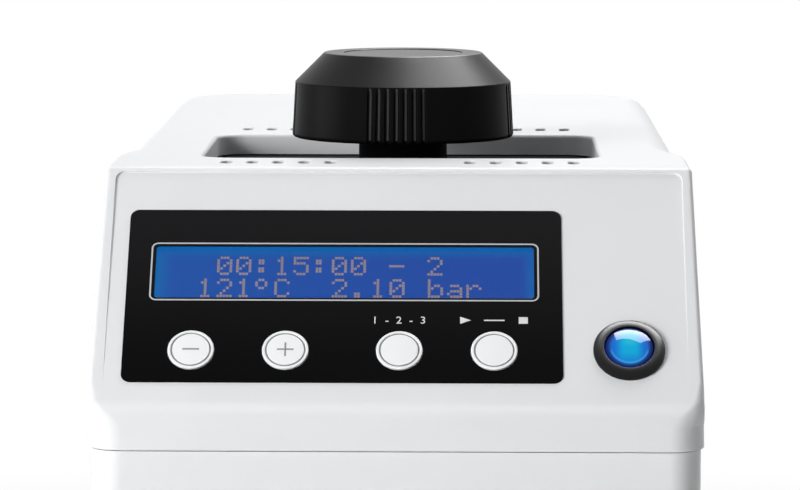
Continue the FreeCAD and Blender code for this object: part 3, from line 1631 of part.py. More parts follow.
def make_fuse_drawer():
    """The drawer that holds the two fuses."""
    face_y = shell_back + module_flange
    drawer = drawer_block(0, face_y - drawer_depth, face_y)
    low = module_z + drawer_offset - drawer_height / 2
    grip = box(module_x - drawer_height / 2, module_x + drawer_height / 2, face_y - least_radius,
               face_y + drawer_grip,
               low + least_radius, low + 2 * least_radius)
    return fuse([drawer, grip])


def make_mains_rocker():
    """The mains switch's rocker, resting with one side pressed in."""
    barrel = rod(rocker_radius, point(module_x - rocker_width / 2, rocker_axis_y, rocker_z), rocker_width,
                 RIGHT)
    axis_point = point(module_x, rocker_axis_y, rocker_z)
    cutters = []
    for lean in (-rocker_valley, rocker_valley):
        slab = box(module_x - far, module_x + far, rocker_axis_y + 2 * least_radius, rocker_axis_y + far,
                   rocker_z - far, rocker_z + far)
        if lean > 0:
            half = box(module_x - far, module_x + far, -far, far, rocker_z, rocker_z + far)
        else:
            half = box(module_x - far, module_x + far, -far, far, rocker_z - far, rocker_z)
        slab.rotate(point(module_x, rocker_axis_y + 2 * least_radius, rocker_z), RIGHT, lean)
        cutters.append(slab.common(half))
    rocker = barrel.cut(cutters)
    rocker.rotate(axis_point, RIGHT, -rocker_tilt)
    return rocker


def make_hose_couplings():
    """Two hose couplings through the rear panel: water in and drain out."""
    pieces = []
    for x in coupling_positions:
        tail = coupling_tail()
        body = rod(spigot_radius, point(x, tail, coupling_z), rear + rear_reach - tail, BACK)
        outside = rod(coupling_flange_radius, point(x, shell_back, coupling_z), coupling_flange_thickness,
                      BACK)
        inside = rod(coupling_flange_radius, point(x, panel_inner_y - coupling_flange_thickness,
                                                   coupling_z),
                     coupling_flange_thickness, BACK)
        inner_bore = pipe_radius + press_gap if x == coupling_positions[0] else spigot_bore
        bore = rod(spigot_bore, point(x, tail, coupling_z), rear + rear_reach - tail, BACK)
        seat = rod(inner_bore, point(x, tail, coupling_z), coupling_inner / 2, BACK)
        pieces.append(fuse([body, outside, inside]).cut([bore, seat]))
    return group(pieces)


def make_air_filter():
    """The sterile air filter cartridge behind its intake in the rear panel."""
    can = rod(filter_radius, point(filter_x, panel_inner_y - filter_length, filter_z), filter_length, BACK)
    can = can.makeFillet(least_radius, [can.Edges[0], can.Edges[2]])
    stub = rod(filter_spigot_radius, point(filter_x, panel_inner_y - least_radius, filter_z),
               rear_panel_thickness + filter_spigot_length, BACK)
    bore = rod(spigot_bore, point(filter_x, panel_inner_y, filter_z),
               rear_panel_thickness + filter_spigot_length, BACK)
    return fuse([can, stub]).cut(bore)


# ---------------------------------------------------------- front electronics

def make_main_board():
    """The controller board on four standoffs from the front wall."""
    low_y = front + board_front
    board = box(-board_half, board_half, low_y, low_y + board_thickness, board_low, board_high)
    pieces = [board]
    wall_y = front + shell_inset + shell_wall
    for x in (-board_half + standoff_inset, board_half - standoff_inset):
        for z in (board_low + standoff_inset, board_high - standoff_inset):
            pieces.append(rod(standoff_radius, point(x, wall_y, z), low_y - wall_y, BACK))
    return group(pieces)


def make_board_components():
    """Relays, capacitors and chips on the rear of the controller board."""
    face = front + board_front + board_thickness
    pieces = []
    for x, z in relay_positions:
        pieces.append(box(x, x + relay_size[0], face, face + relay_size[1], z, z + relay_size[2]))
    for x, z in capacitor_positions:
        can = rod(capacitor_radius, point(x, face, z), capacitor_length, BACK)
        pieces.append(can.makeFillet(least_radius,
                                     [e for e in can.Edges if e.BoundBox.YMin > face + least_radius]))
    for x, z in chip_positions:
        pieces.append(box(x, x + chip_side, face, face + chip_height, z, z + chip_side))
    return group(pieces)


def make_transformer():
    """The mains transformer: a laminated core and its winding."""
    low_y = front + transformer_front
    high_y = low_y + transformer_depth
    core = box(-transformer_half, transformer_half, low_y, high_y, base_top, base_top + transformer_height)
    window_low = base_top + transformer_leg
    window_high = base_top + transformer_height - transformer_leg
    for side in (-1, 1):
        outer = side * (transformer_half - transformer_leg)
        inner = side * transformer_leg
        core = core.cut(box(min(outer, inner), max(outer, inner), low_y, high_y, window_low, window_high))
    reach = transformer_half - transformer_leg - sliding_gap
    coil = box(-reach, reach, low_y - transformer_coil_margin, high_y + transformer_coil_margin,
               window_low + sliding_gap, window_high - sliding_gap)
    middle = box(-transformer_leg - press_gap, transformer_leg + press_gap, low_y - press_gap,
                 high_y + press_gap,
                 base_top, base_top + transformer_height)
    return group([core, coil.cut(middle)])


# ---------------------------------------------------------------- the model

parts["top_cover"] = make_top_cover()
parts["lower_housing"] = make_lower_housing()
parts["base_plate"] = make_base_plate()
parts["rear_panel"] = make_rear_panel()
parts["rubber_feet"] = make_feet()
parts["housing_screws"] = make_housing_screws()
parts["recess_liner"] = make_recess_liner()
parts["control_foil"] = make_control_foil()
parts["display_window"] = make_display_window()
parts["display_glass"] = make_display_glass()
parts["display_module"] = make_display_module()
parts["keypad_board"] = make_keypad_board()
for name, x in key_positions.items():
    parts["key_" + name] = make_key(x)
parts["button_bezel"] = make_button_bezel()
parts["button_lens"] = make_button_lens()
parts["button_switch"] = make_button_switch()
parts["lid_cover"] = make_lid_cover()
parts["lid_collar"] = make_lid_collar()
parts["spindle_bush"] = make_spindle_bush()
parts["lid_plate"] = make_lid_plate()
parts["lid_seal"] = make_lid_seal()
parts["lid_pillars"] = make_lid_pillars()
parts["basket_rod"] = make_basket_rod()
parts["instrument_basket"] = make_basket()
parts["knob"] = make_knob()
parts["knob_cap"] = make_knob_cap()
parts["knob_spindle"] = make_spindle()
parts["spindle_fasteners"] = make_spindle_fasteners()
parts["lock_bar"] = make_lock_bar()
parts["vessel"] = make_vessel()
parts["claw_ring"] = make_claw_ring()
parts["flange_bolts"] = make_flange_bolts()
parts["chassis"] = make_chassis()
parts["insulation"] = make_insulation()
parts["heater_band"] = make_heater_band()
parts["safety_valve"] = make_safety_valve()
parts["vessel_sensors"] = make_vessel_sensors()
parts["water_tank"] = make_water_tank()
parts["float_stem"] = make_float_stem()
parts["tank_float"] = make_tank_float()
parts["feed_pump"] = make_feed_pump()
parts["valve_bracket"] = make_valve_bracket()
parts["steam_valves"] = make_steam_valves()
parts["condenser"] = make_condenser()
parts["steam_pipes"] = make_steam_pipes()
parts["water_hoses"] = make_water_hoses()
parts["fan_frame"] = make_fan_frame()
parts["fan_rotor"] = make_fan_rotor()
parts["fan_guard"] = make_fan_guard()
parts["mains_module"] = make_mains_module()
parts["fuse_drawer"] = make_fuse_drawer()
parts["mains_rocker"] = make_mains_rocker()
parts["hose_couplings"] = make_hose_couplings()
parts["air_filter"] = make_air_filter()
parts["main_board"] = make_main_board()
parts["board_components"] = make_board_components()
parts["transformer"] = make_transformer()

os.makedirs("parts", exist_ok=True)
for name, shape in parts.items():
    if not shape.isValid():
        raise RuntimeError(name + " is not a valid shape")
    shape.exportStep(os.path.join("parts", name + ".step"))
print(len(parts), "nodes written")
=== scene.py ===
"""The looks of a benchtop autoclave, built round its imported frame.

Lengths are metres in meshes, materials and lamps, and millimetres in the classes that say so.
The front faces -Y and up is +Z.
"""
import logging
import math
from dataclasses import dataclass
from enum import Enum
from typing import Optional, Sequence, Union

import bmesh
import bpy
import numpy as np
from mathutils import Matrix, Vector


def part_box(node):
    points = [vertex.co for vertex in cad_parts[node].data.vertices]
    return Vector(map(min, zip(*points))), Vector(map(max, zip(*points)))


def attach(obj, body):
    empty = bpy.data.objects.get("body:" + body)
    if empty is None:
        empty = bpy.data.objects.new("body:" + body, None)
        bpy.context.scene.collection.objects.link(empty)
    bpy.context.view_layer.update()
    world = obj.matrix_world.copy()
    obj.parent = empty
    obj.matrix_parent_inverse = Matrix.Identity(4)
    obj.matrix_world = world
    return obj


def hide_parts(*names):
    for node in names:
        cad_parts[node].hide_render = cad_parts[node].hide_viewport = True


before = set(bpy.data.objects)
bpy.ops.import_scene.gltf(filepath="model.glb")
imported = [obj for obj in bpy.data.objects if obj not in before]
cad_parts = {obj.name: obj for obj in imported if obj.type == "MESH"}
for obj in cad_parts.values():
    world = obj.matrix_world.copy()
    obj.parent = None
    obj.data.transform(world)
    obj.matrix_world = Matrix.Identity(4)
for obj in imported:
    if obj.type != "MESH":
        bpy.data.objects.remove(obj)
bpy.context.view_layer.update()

MM = 0.001
WELD = 2e-6  # points nearer than this are one
TAU = 2 * math.pi
log = logging.getLogger("autoclave")
Array = np.ndarray
Piece = bpy.types.Object
Material = bpy.types.Material
Point = tuple[float, float, float]
Colour = Point
Span = tuple[float, float]
Box = tuple[float, float, float, float]
Measure = Union[float, Array]
Value = Union["Signal", float]
Paint = Union["Signal", Colour]


def new_object(name: str, data: bpy.types.ID) -> Piece:
    """Link a new object to the scene.

    Args:
        name: its name.
        data: its mesh, lamp, camera or curve.

    Returns:
        The object.
    """
    made = bpy.data.objects.new(name, data)
    bpy.context.scene.collection.objects.link(made)
    return made


# ---- shader maths

class Signal:
    """One output of a material's nodes; arithmetic on it adds Math nodes."""

    def __init__(self, book: "NodeBook", socket: bpy.types.NodeSocket) -> None:
        """Keep the output socket that carries the value, and the nodes it belongs to."""
        self.book = book
        self.socket = socket

    def _math(self, operation: str, *values: Value) -> "Signal":
        """Result of one Math node on the values."""
        return self.book.node("Math", {"operation": operation}, values)

    def __add__(self, other: Value) -> "Signal":
        """Sum of two values."""
        return self._math("ADD", self, other)

    def __sub__(self, other: Value) -> "Signal":
        """Difference of two values."""
        return self._math("SUBTRACT", self, other)

    def __rsub__(self, other: float) -> "Signal":
        """Difference from a number on the left."""
        return self._math("SUBTRACT", other, self)

    def __mul__(self, other: Value) -> "Signal":
        """Product of two values."""
        return self._math("MULTIPLY", self, other)

    __radd__, __rmul__ = __add__, __mul__

    def __pow__(self, other: Value) -> "Signal":
        """Power of a value."""
        return self._math("POWER", self, other)

    def __abs__(self) -> "Signal":
        """Size of a value."""
        return self._math("ABSOLUTE", self)

    def most(self, other: Value) -> "Signal":
        """Larger of two values."""
        return self._math("MAXIMUM", self, other)

    def between(self, low: float, high: float) -> "Signal":
        """The value's place between two marks, kept within 0 and 1.

        Args:
            low: mark that gives 0.
            high: mark that gives 1.

        Returns:
            A smooth step between the marks.
        """
        return self.book.node("MapRange", {"interpolation_type": "SMOOTHSTEP"},
                              {"Value": self, "From Min": low, "From Max": high})


class NodeBook:
    """The node tree of a material or a world, with the few ways used to add to it."""

    def __init__(self, owner: Union[Material, bpy.types.World], kind: str = "Material") -> None:
        """Empty the owner's node tree but for its output.

        Args:
            owner: a material or a world.
            kind: which of the two it is.
        """
        owner.use_nodes = True
        self.owner = owner
        self.tree = owner.node_tree
        self.tree.nodes.clear()
        self.output = self.tree.nodes.new(f"ShaderNodeOutput{kind}")

    @classmethod
    def named(cls, name: str) -> "NodeBook":
        """The nodes of a new material."""
        return cls(bpy.data.materials.new(name))

    def plug(self, socket: bpy.types.NodeSocket, value: object) -> None:
        """Link a signal to an input, or set a plain value on it.

        Args:
            socket: the input.
            value: a signal, a number, a colour or a vector.
        """
        if isinstance(value, Signal):
            self.tree.links.new(value.socket, socket)
        elif isinstance(value, (tuple, list)) and len(value) == 3 and len(socket.default_value) == 4:
            socket.default_value = (*value, 1.0)
        else:
            socket.default_value = value

    def node(self, kind: str, settings: Optional[dict] = None, inputs: Union[dict, Sequence, None] = None,
             output: Union[int, str] = 0) -> Signal:
        """Add a node of any kind.

        Args:
            kind: the node's type name, less "ShaderNode".
            settings: its properties, set first.
            inputs: values or signals by socket name, or in order.
            output: which output to return.

        Returns:
            The output asked for.
        """
        made = self.tree.nodes.new(f"ShaderNode{kind}")
        for key, value in (settings or {}).items():
            setattr(made, key, value)
        pairs = inputs.items() if isinstance(inputs, dict) else enumerate(inputs or ())
        for key, value in pairs:
            self.plug(made.inputs[key], value)
        return Signal(self, made.outputs[output])

    def place(self, scale: Point = (1.0, 1.0, 1.0)) -> Signal:
        """Object coordinates, stretched on each axis."""
        where = self.node("TexCoord", output="Object")
        return self.node("Mapping", None, {"Vector": where, "Scale": scale})

    def axes(self, vector: Signal) -> tuple[Signal, ...]:
        """The three parts of a vector."""
        return tuple(self.node("SeparateXYZ", None, (vector,), part) for part in "XYZ")

    def noise(self, vector: Signal, scale: float, detail: float = 3.0, rough: float = 0.55) -> Signal:
        """Fractal noise between about 0.3 and 0.7.

        Args:
            vector: where it is read.
            scale: grains per metre.
            detail: number of octaves.
            rough: strength of the fine octaves.

        Returns:
            The noise value.
        """
        values = {"Vector": vector, "Scale": scale, "Detail": detail, "Roughness": rough}
        return self.node("TexNoise", None, values)

    def blend(self, share: Value, first: Paint, second: Paint) -> Signal:
        """A mix of two colours.

        Args:
            share: 0 for the first colour, 1 for the second.
            first: a colour.
            second: a colour.

        Returns:
            The mixed colour.
        """
        made = self.tree.nodes.new("ShaderNodeMix")
        made.data_type = "RGBA"
        self.plug(made.inputs["Factor"], share)
        for name, colour in (("A", first), ("B", second)):
            self.plug([s for s in made.inputs if s.name == name and s.type == "RGBA"][0], colour)
        return Signal(self, [s for s in made.outputs if s.type == "RGBA"][0])

    def bump(self, height: Signal, depth: float) -> Signal:
        """A normal bent by a height from 0 to 1, where 1 stands for a depth in metres."""
        return self.node("Bump", None, {"Height": height, "Distance": depth, "Strength": 1.0})

    def surface(self, **inputs: object) -> Material:
        """Finish the material with one Principled shader.

        Args:
            inputs: Principled inputs, with spaces in their names as underscores.

        Returns:
            The material.
        """
        named = {key.replace("_", " "): value for key, value in inputs.items()}
        return self.finish(self.node("BsdfPrincipled", None, named))

    def finish(self, shader: Signal) -> Union[Material, bpy.types.World]:
        """Plug a shader into the output, and give the tree's owner."""
        self.plug(self.output.inputs["Surface"], shader)
        return self.owner


# ---- finishes

def dimmed(colour: Colour, share: float) -> Colour:
    """A colour times a share, at most white."""
    return tuple(min(1.0, part * share) for part in colour)


@dataclass(frozen=True)
class Moulded:
    """Moulded plastic or rubber: fine spark texture, faint mottling and a soft sheen."""

    colour: Colour
    roughness: float = 0.45
    grain: float = 1400.0
    depth: float = 0.00002
    mottle: float = 0.02
    specular: float = 0.5
    cloud: float = 26.0

    def make(self, name: str) -> Material:
        """Build the material.

        Args:
            name: its name.

        Returns:
            The material.
        """
        book = NodeBook.named(name)
        where = book.place()
        cloud = book.noise(where, self.cloud, 4.0)
        spark = book.noise(where, self.grain, 2.0, 0.6)
        fine = book.noise(where, self.grain * 2.7, 1.0)
        shade, tint = dimmed(self.colour, 1 - self.mottle * 2), dimmed(self.colour, 1 + self.mottle)
        colour = book.blend(cloud.between(0.3, 0.7), shade, tint)
        rough = self.roughness + (cloud - 0.5) * 0.12 + (spark - 0.5) * 0.1
        normal = book.bump(spark * 0.7 + fine * 0.3, self.depth)
        return book.surface(Base_Color=colour, Roughness=rough, Normal=normal,
                            Specular_IOR_Level=self.specular)


@dataclass(frozen=True)
class Metal:
    """Metal with fine drawn or turned lines, handling marks and uneven gloss."""

    colour: Colour
    roughness: float = 0.3
    stretch: Point = (1.0, 1.0, 14.0)
    lines: float = 160.0
    depth: float = 0.00001
    stain: float = 0.06
    cloud: float = 18.0
    spots: float = 420.0

    def make(self, name: str) -> Material:
        """Build the material.

        Args:
            name: its name.

        Returns:
            The material.
        """
        book = NodeBook.named(name)
        where = book.place()
        drawn = book.place(self.stretch)
        line = book.noise(drawn, self.lines, 5.0, 0.7)
        cloud = book.noise(where, self.cloud, 4.0)
        spots = book.node("TexVoronoi", None, {"Vector": where, "Scale": self.spots}).between(0.0, 0.22)
        dull = dimmed(self.colour, 1 - self.stain * 2.2)
        colour = book.blend(cloud.between(0.34, 0.68), self.colour, dull)
        colour = book.blend((1 - spots) * 0.12, colour, dimmed(self.colour, 0.7))
        rough = self.roughness + (line - 0.5) * 0.22 + (cloud - 0.5) * 0.2
        return book.surface(Base_Color=colour, Metallic=1.0, Roughness=rough,
                            Normal=book.bump(line, self.depth))


@dataclass(frozen=True)
class Galvanised:
    """Zinc-plated sheet, with large pale crystals."""

    colour: Colour = (0.56, 0.58, 0.6)
    crystals: float = 130.0
    grain: float = 900.0
    depth: float = 0.00001

    def make(self, name: str) -> Material:
        """Build the material.

        Args:
            name: its name.

        Returns:
            The material.
        """
        book = NodeBook.named(name)
        where = book.place()
        crystal = book.node("TexVoronoi", {"feature": "F1"},
                            {"Vector": where, "Scale": self.crystals}, "Color")
        part = book.axes(crystal)[0]
        colour = book.blend(part, dimmed(self.colour, 0.72), self.colour)
        rough = 0.34 + part * 0.2
        return book.surface(Base_Color=colour, Metallic=1.0, Roughness=rough,
                            Normal=book.bump(book.noise(where, self.grain), self.depth))


@dataclass(frozen=True)
class Clear:
    """Clear plastic or glass, with a tint."""

    colour: Colour
    roughness: float = 0.04
    index: float = 1.49
    alpha: float = 0.25

    def make(self, name: str) -> Material:
        """Build the material.

        Args:
            name: its name.

        Returns:
            The material.
        """
        book = NodeBook.named(name)
        haze = book.noise(book.place(), 60.0, 3.0)
        return book.surface(Base_Color=self.colour, Roughness=self.roughness + (haze - 0.4) * 0.06,
                            IOR=self.index, Alpha=self.alpha + (haze - 0.5) * 0.02)


@dataclass(frozen=True)
class Board:
    """Green circuit board: solder mask over copper tracks."""

    colour: Colour = (0.02, 0.16, 0.06)
    stretch: Point = (1.0, 0.4, 0.4)
    tracks: float = 300.0
    depth: float = 0.00003

    def make(self, name: str) -> Material:
        """Build the material.

        Args:
            name: its name.

        Returns:
            The material.
        """
        book = NodeBook.named(name)
        where = book.place(self.stretch)
        track = book.node("TexVoronoi", {"feature": "DISTANCE_TO_EDGE"},
                          {"Vector": where, "Scale": self.tracks})
        line = 1 - track.between(0.03, 0.06)
        colour = book.blend(line, self.colour, dimmed(self.colour, 1.9))
        return book.surface(Base_Color=colour, Roughness=0.32 + line * 0.08,
                            Normal=book.bump(line, self.depth), Coat_Weight=0.3)


@dataclass(frozen=True)
class Felt:
    """Pressed mineral wool: loose fibres in soft clumps."""

    colour: Colour = (0.62, 0.58, 0.48)
    stretch: Point = (1.0, 1.0, 0.35)
    fibre: float = 700.0
    clump: float = 90.0
    depth: float = 0.0006

    def make(self, name: str) -> Material:
        """Build the material.

        Args:
            name: its name.

        Returns:
            The material.
        """
        book = NodeBook.named(name)
        where = book.place(self.stretch)
        fibre = book.noise(where, self.fibre, 6.0, 0.75)
        clump = book.noise(where, self.clump, 3.0)
        colour = book.blend(fibre.between(0.3, 0.7), dimmed(self.colour, 0.6), self.colour)
        return book.surface(Base_Color=colour, Roughness=0.95, Normal=book.bump(fibre + clump, self.depth))


@dataclass(frozen=True)
class Place:
    """A local frame: where its origin is and where its three axes point."""

    origin: Array
    right: Array
    up: Array
    out: Array

    def of(self, points: Array) -> Array:
        """Local points in the part's frame: origin + a right + b up + c out."""
        return self.origin + points @ np.stack([self.right, self.up, self.out])

    def at(self, x: float, y: float) -> "Place":
        """The same frame, moved to a point of its own plane."""
        return Place(self.of(np.array([x, y, 0.0])), self.right, self.up, self.out)


@dataclass(frozen=True)
class LocalFinish:
    """A finish whose pattern is laid out in a frame of its own, in millimetres."""

    place: Place

    def along(self, book: NodeBook, way: Array) -> Signal:
        """Measure how far a point is from the frame's origin along a direction.

        Args:
            book: the material's nodes.
            way: the direction.

        Returns:
            The distance in metres.
        """
        where, start = book.node("TexCoord", output="Object"), tuple(self.place.origin * MM)
        offset = book.node("VectorMath", {"operation": "SUBTRACT"}, {0: where, 1: start})
        return book.node("VectorMath", {"operation": "DOT_PRODUCT"},
                         {0: offset, 1: tuple(way)}, "Value")

    def axes(self, book: NodeBook) -> tuple[Signal, Signal]:
        """Distances along the frame's first two axes, in metres."""
        return self.along(book, self.place.right), self.along(book, self.place.up)


@dataclass(frozen=True)
class LampCap(LocalFinish):
    """The lamp's blue cap: deep blue at its rim, cyan over the lamp, and a bright arc below; in metres."""

    skin: Colour = (0.0, 0.01, 0.05)
    flank_glow: Colour = (0.004, 0.13, 0.56)
    core_glow: Colour = (0.0, 0.37, 0.63)
    ember_glow: Colour = (0.02, 0.52, 0.6)
    rim_glow: Colour = (0.0, 0.004, 0.075)
    arc_glow: Colour = (0.08, 0.42, 0.86)
    drop: float = 0.0004
    rim: Span = (0.0052, 0.0069)
    flank: Span = (0.0014, 0.0052)
    low: Span = (0.0026, 0.0058)
    low_share: float = 0.6
    ember: float = 0.0026
    ember_rise: float = 0.0008
    ember_share: float = 0.6
    arc_start: Span = (0.0053, 0.0057)
    arc_end: Span = (0.0062, 0.0058)
    arc_low: Span = (0.0006, 0.0028)
    arc_share: float = 0.45

    def make(self, name: str) -> Material:
        """Build the material.

        Args:
            name: its name.

        Returns:
            The material.
        """
        book = NodeBook.named(name)
        right, up = self.axes(book)
        below, above = up + self.drop, up - self.ember_rise
        radius = (right * right + below * below) ** 0.5
        rim = radius.between(*self.rim)
        down = 0.0 - up
        core = (1 - abs(right).between(*self.flank)) * (1 - down.between(*self.low) * self.low_share)
        ember = 1 - ((right * right * 0.5 + above * above) ** 0.5).between(0.0, self.ember)
        arc = radius.between(*self.arc_start) * radius.between(*self.arc_end) * down.between(*self.arc_low)
        glow = book.blend(core, self.flank_glow, self.core_glow)
        glow = book.blend(ember * self.ember_share, glow, self.ember_glow)
        glow = book.blend(rim, glow, self.rim_glow)
        glow = book.blend(arc * self.arc_share, glow, self.arc_glow)
        return book.surface(Base_Color=self.skin, Roughness=0.06 + rim * 0.04, Emission_Color=glow,
                            Emission_Strength=1.0, Specular_IOR_Level=0.12)


@dataclass(frozen=True)
class ShadedFoilPrint(LocalFinish):
    """The keypad foil: printed black under a satin skin, with painted shade that darkens it towards its
    lower edge.
    """

    edges: Span
    # painted shade: the foil's black runs from the darker low colour at its lower edge to the paler high
    # colour at its top
    low: Colour = (0.0004, 0.0005, 0.0008)
    high: Colour = (0.0095, 0.0095, 0.0105)
    cloud: float = 26.0
    grain: float = 1400.0
    depth: float = 0.000003

    def make(self, name: str) -> Material:
        """Build the material.

        Args:
            name: its name.

        Returns:
            The material.
        """
        book = NodeBook.named(name)
        up = self.along(book, self.place.up)
        where = book.place()
        cloud = book.noise(where, self.cloud, 4.0)
        # painted shade: the colour blends from dark at the foil's lower edge to paler at its top
        colour = book.blend(up.between(*self.edges), self.low, self.high)
        colour = book.blend(cloud * 0.1, colour, (0.0, 0.0, 0.0))
        return book.surface(Base_Color=colour, Roughness=0.34 + (cloud - 0.5) * 0.08,
                            Normal=book.bump(book.noise(where, self.grain, 2.0, 0.6), self.depth),
                            Specular_IOR_Level=0.028)


@dataclass(frozen=True)
class Crystal(LocalFinish):
    """The display cell: deep blue, paler along its ends and its upper edge; half its size is in metres."""

    half_x: float
    half_y: float
    left: float = 0.006
    right: float = 0.0042
    right_share: float = 0.8
    top: Span = (0.0042, -0.0002)
    top_share: float = 0.85
    glow: tuple[Colour, Colour] = ((0.006, 0.078, 0.385), (0.008, 0.062, 0.36))
    pale: Colour = (0.001, 0.135, 0.44)
    skin: tuple[Colour, Colour] = ((0.002, 0.01, 0.06), (0.002, 0.009, 0.05))
    cloud: float = 40.0

    def make(self, name: str) -> Material:
        """Build the material.

        Args:
            name: its name.

        Returns:
            The material.
        """
        book = NodeBook.named(name)
        right, up = self.axes(book)
        x, y = self.half_x, self.half_y
        ends = right.between(self.left - x, -x).most(right.between(x - self.right, x) * self.right_share)
        top = up.between(y - self.top[0], y - self.top[1]) * self.top_share
        cloud = book.noise(book.place(), self.cloud, 2.0)
        glow = book.blend(right.between(-x, x), *self.glow)
        glow = book.blend(ends.most(top), glow, self.pale)
        return book.surface(Base_Color=book.blend(cloud, *self.skin), Roughness=0.2 + (cloud - 0.5) * 0.05,
                            Specular_IOR_Level=0.1, Emission_Color=glow, Emission_Strength=1.0)


class Slot(Enum):
    """The record's material slots, by name."""

    WHITE = "housing_white"
    BLACK = "black_moulding"
    TRIM = "black_trim"
    FOIL = "foil_black"
    WINDOW = "clear_window"
    DISPLAY = "display_blue"
    KEY = "key_white"
    LENS = "lens_blue"
    RUBBER = "rubber_black"
    SILICONE = "silicone"
    STEEL = "steel"
    BRIGHT = "bright_steel"
    ZINC = "zinc"
    PANEL = "panel_grey"
    BRASS = "brass"
    COPPER = "copper"
    ALUMINIUM = "aluminium"
    BOARD = "board_green"
    PART = "component_dark"
    FELT = "felt"
    TANK = "tank_plastic"
    CORE = "core_iron"


FINISHES = {
    Slot.WHITE: Moulded((0.80, 0.81, 0.825), 0.45, mottle=0.006, depth=0.000012, specular=0.4),
    Slot.BLACK: Moulded((0.012, 0.012, 0.013), 0.36, depth=0.00003, mottle=0.05),
    Slot.TRIM: Moulded((0.01, 0.01, 0.011), 0.16, depth=0.000004, mottle=0.03),
    Slot.WINDOW: Clear((0.01, 0.03, 0.1), 0.05, 1.49, 0.1),
    Slot.KEY: Moulded((0.96, 0.97, 0.98), 0.35, mottle=0.006, depth=0.000006, specular=0.3),
    Slot.RUBBER: Moulded((0.02, 0.02, 0.021), 0.72, grain=700.0, depth=0.00006, mottle=0.08, specular=0.3),
    Slot.SILICONE: Moulded((0.62, 0.6, 0.56), 0.5, grain=500.0, mottle=0.03, specular=0.4),
    Slot.STEEL: Metal((0.6, 0.6, 0.61), 0.32),
    Slot.BRIGHT: Metal((0.68, 0.68, 0.69), 0.16, lines=260.0, depth=0.000005, stain=0.03),
    Slot.ZINC: Galvanised(),
    Slot.PANEL: Moulded((0.55, 0.56, 0.57), 0.5, grain=900.0, depth=0.00004, mottle=0.02),
    Slot.BRASS: Metal((0.72, 0.52, 0.22), 0.28, stain=0.1),
    Slot.COPPER: Metal((0.72, 0.36, 0.22), 0.3, stain=0.16),
    Slot.ALUMINIUM: Metal((0.72, 0.73, 0.74), 0.34, stretch=(1.0, 10.0, 1.0)),
    Slot.BOARD: Board(),
    Slot.PART: Moulded((0.03, 0.03, 0.034), 0.45, mottle=0.06),
    Slot.FELT: Felt(),
    Slot.TANK: Moulded((0.7, 0.72, 0.72), 0.3, grain=300.0, mottle=0.03),
    Slot.CORE: Metal((0.2, 0.2, 0.21), 0.5, stretch=(1.0, 30.0, 1.0), lines=220.0, depth=0.00003,
                     stain=0.12),
}

SPECIAL = {
    # the side's finish is the knob's own black; the cone's and the top's finishes are lit copies of it,
    # paler and with stronger specular sheen, so that the cone and the top read as lit: painted light
    "knob_side": Moulded((0.0035, 0.0035, 0.004), 0.34, mottle=0.03, specular=0.03),
    "knob_cone_lit": Moulded((0.006, 0.006, 0.0065), 0.4, mottle=0.03, specular=0.085),
    "knob_top_lit": Moulded((0.006, 0.006, 0.0065), 0.42, mottle=0.03, specular=0.34),
    # painted highlight: a paler grey for the groove floors, standing in for the light caught by the grooves'
    # edges
    "knob_groove_lit": Moulded((0.04, 0.04, 0.042), 0.5, mottle=0.03, specular=0.05),
    "ring": Moulded((0.004, 0.004, 0.0045), 0.34, depth=0.00001, mottle=0.03, specular=0.18),
    "dots": Moulded((0.46, 0.37, 0.36), 0.5, depth=0.0, mottle=0.02, specular=0.1),
    "line": Moulded((0.56, 0.57, 0.58), 0.5, depth=0.0, mottle=0.01, specular=0.2),
    "lid": Moulded((0.003, 0.003, 0.0034), 0.6, depth=0.00003, mottle=0.04, specular=0.02),
    "print_light": Moulded((0.78, 0.78, 0.78), 0.5, depth=0.0, mottle=0.01, specular=0.2),
    # grey print for the keys' signs, also used as painted shade on the floors of their ring grooves
    "grey_print_and_groove_shade": Moulded((0.28, 0.29, 0.3), 0.5, depth=0.0, mottle=0.02, specular=0.2),
}


class Workshop:
    """Makes each finish once, and hands finished pieces to the frame."""

    def __init__(self) -> None:
        """Make a material for every slot but those whose pieces bring their own."""
        self.materials = {slot: finish.make(slot.value) for slot, finish in FINISHES.items()}
        self.special = {name: finish.make(name) for name, finish in SPECIAL.items()}

    def dress_frame(self) -> None:
        """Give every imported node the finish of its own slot."""
        by_name = {slot.value: made for slot, made in self.materials.items()}
        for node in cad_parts.values():
            for place in node.material_slots:
                name = place.material.name.split(".")[0] if place.material else ""
                place.material = by_name.get(name, self.materials[Slot.STEEL])

    def fit(self, piece: Piece, body: str, slot: Slot, *nodes: str, finish: str = "",
            material: Optional[Material] = None) -> Piece:
        """Finish a piece and fit it to its body.

        Args:
            piece: the new piece.
            body: the body that it moves with.
            slot: its material slot.
            nodes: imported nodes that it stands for.
            finish: name of a special finish, in place of the slot's.
            material: a finish of its own.

        Returns:
            The piece.
        """
        piece.data.materials.clear()
        piece.data.materials.append(material or (self.special[finish] if finish else self.materials[slot]))
        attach(piece, body)
        if nodes:
            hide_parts(*nodes)
        log.info("%s rides on %s in %s", piece.name, body, slot.value)
        return piece


# ---- surface maths

@dataclass(frozen=True)
class Outline:
    """A closed outline in a plane, with the outward direction at each point."""

    points: Array
    normals: Array

    def grown(self, amount: Measure) -> Array:
        """The outline moved outwards by one distance or one each; arcs stay arcs."""
        return self.points + self.normals * np.reshape(amount, (-1, 1))


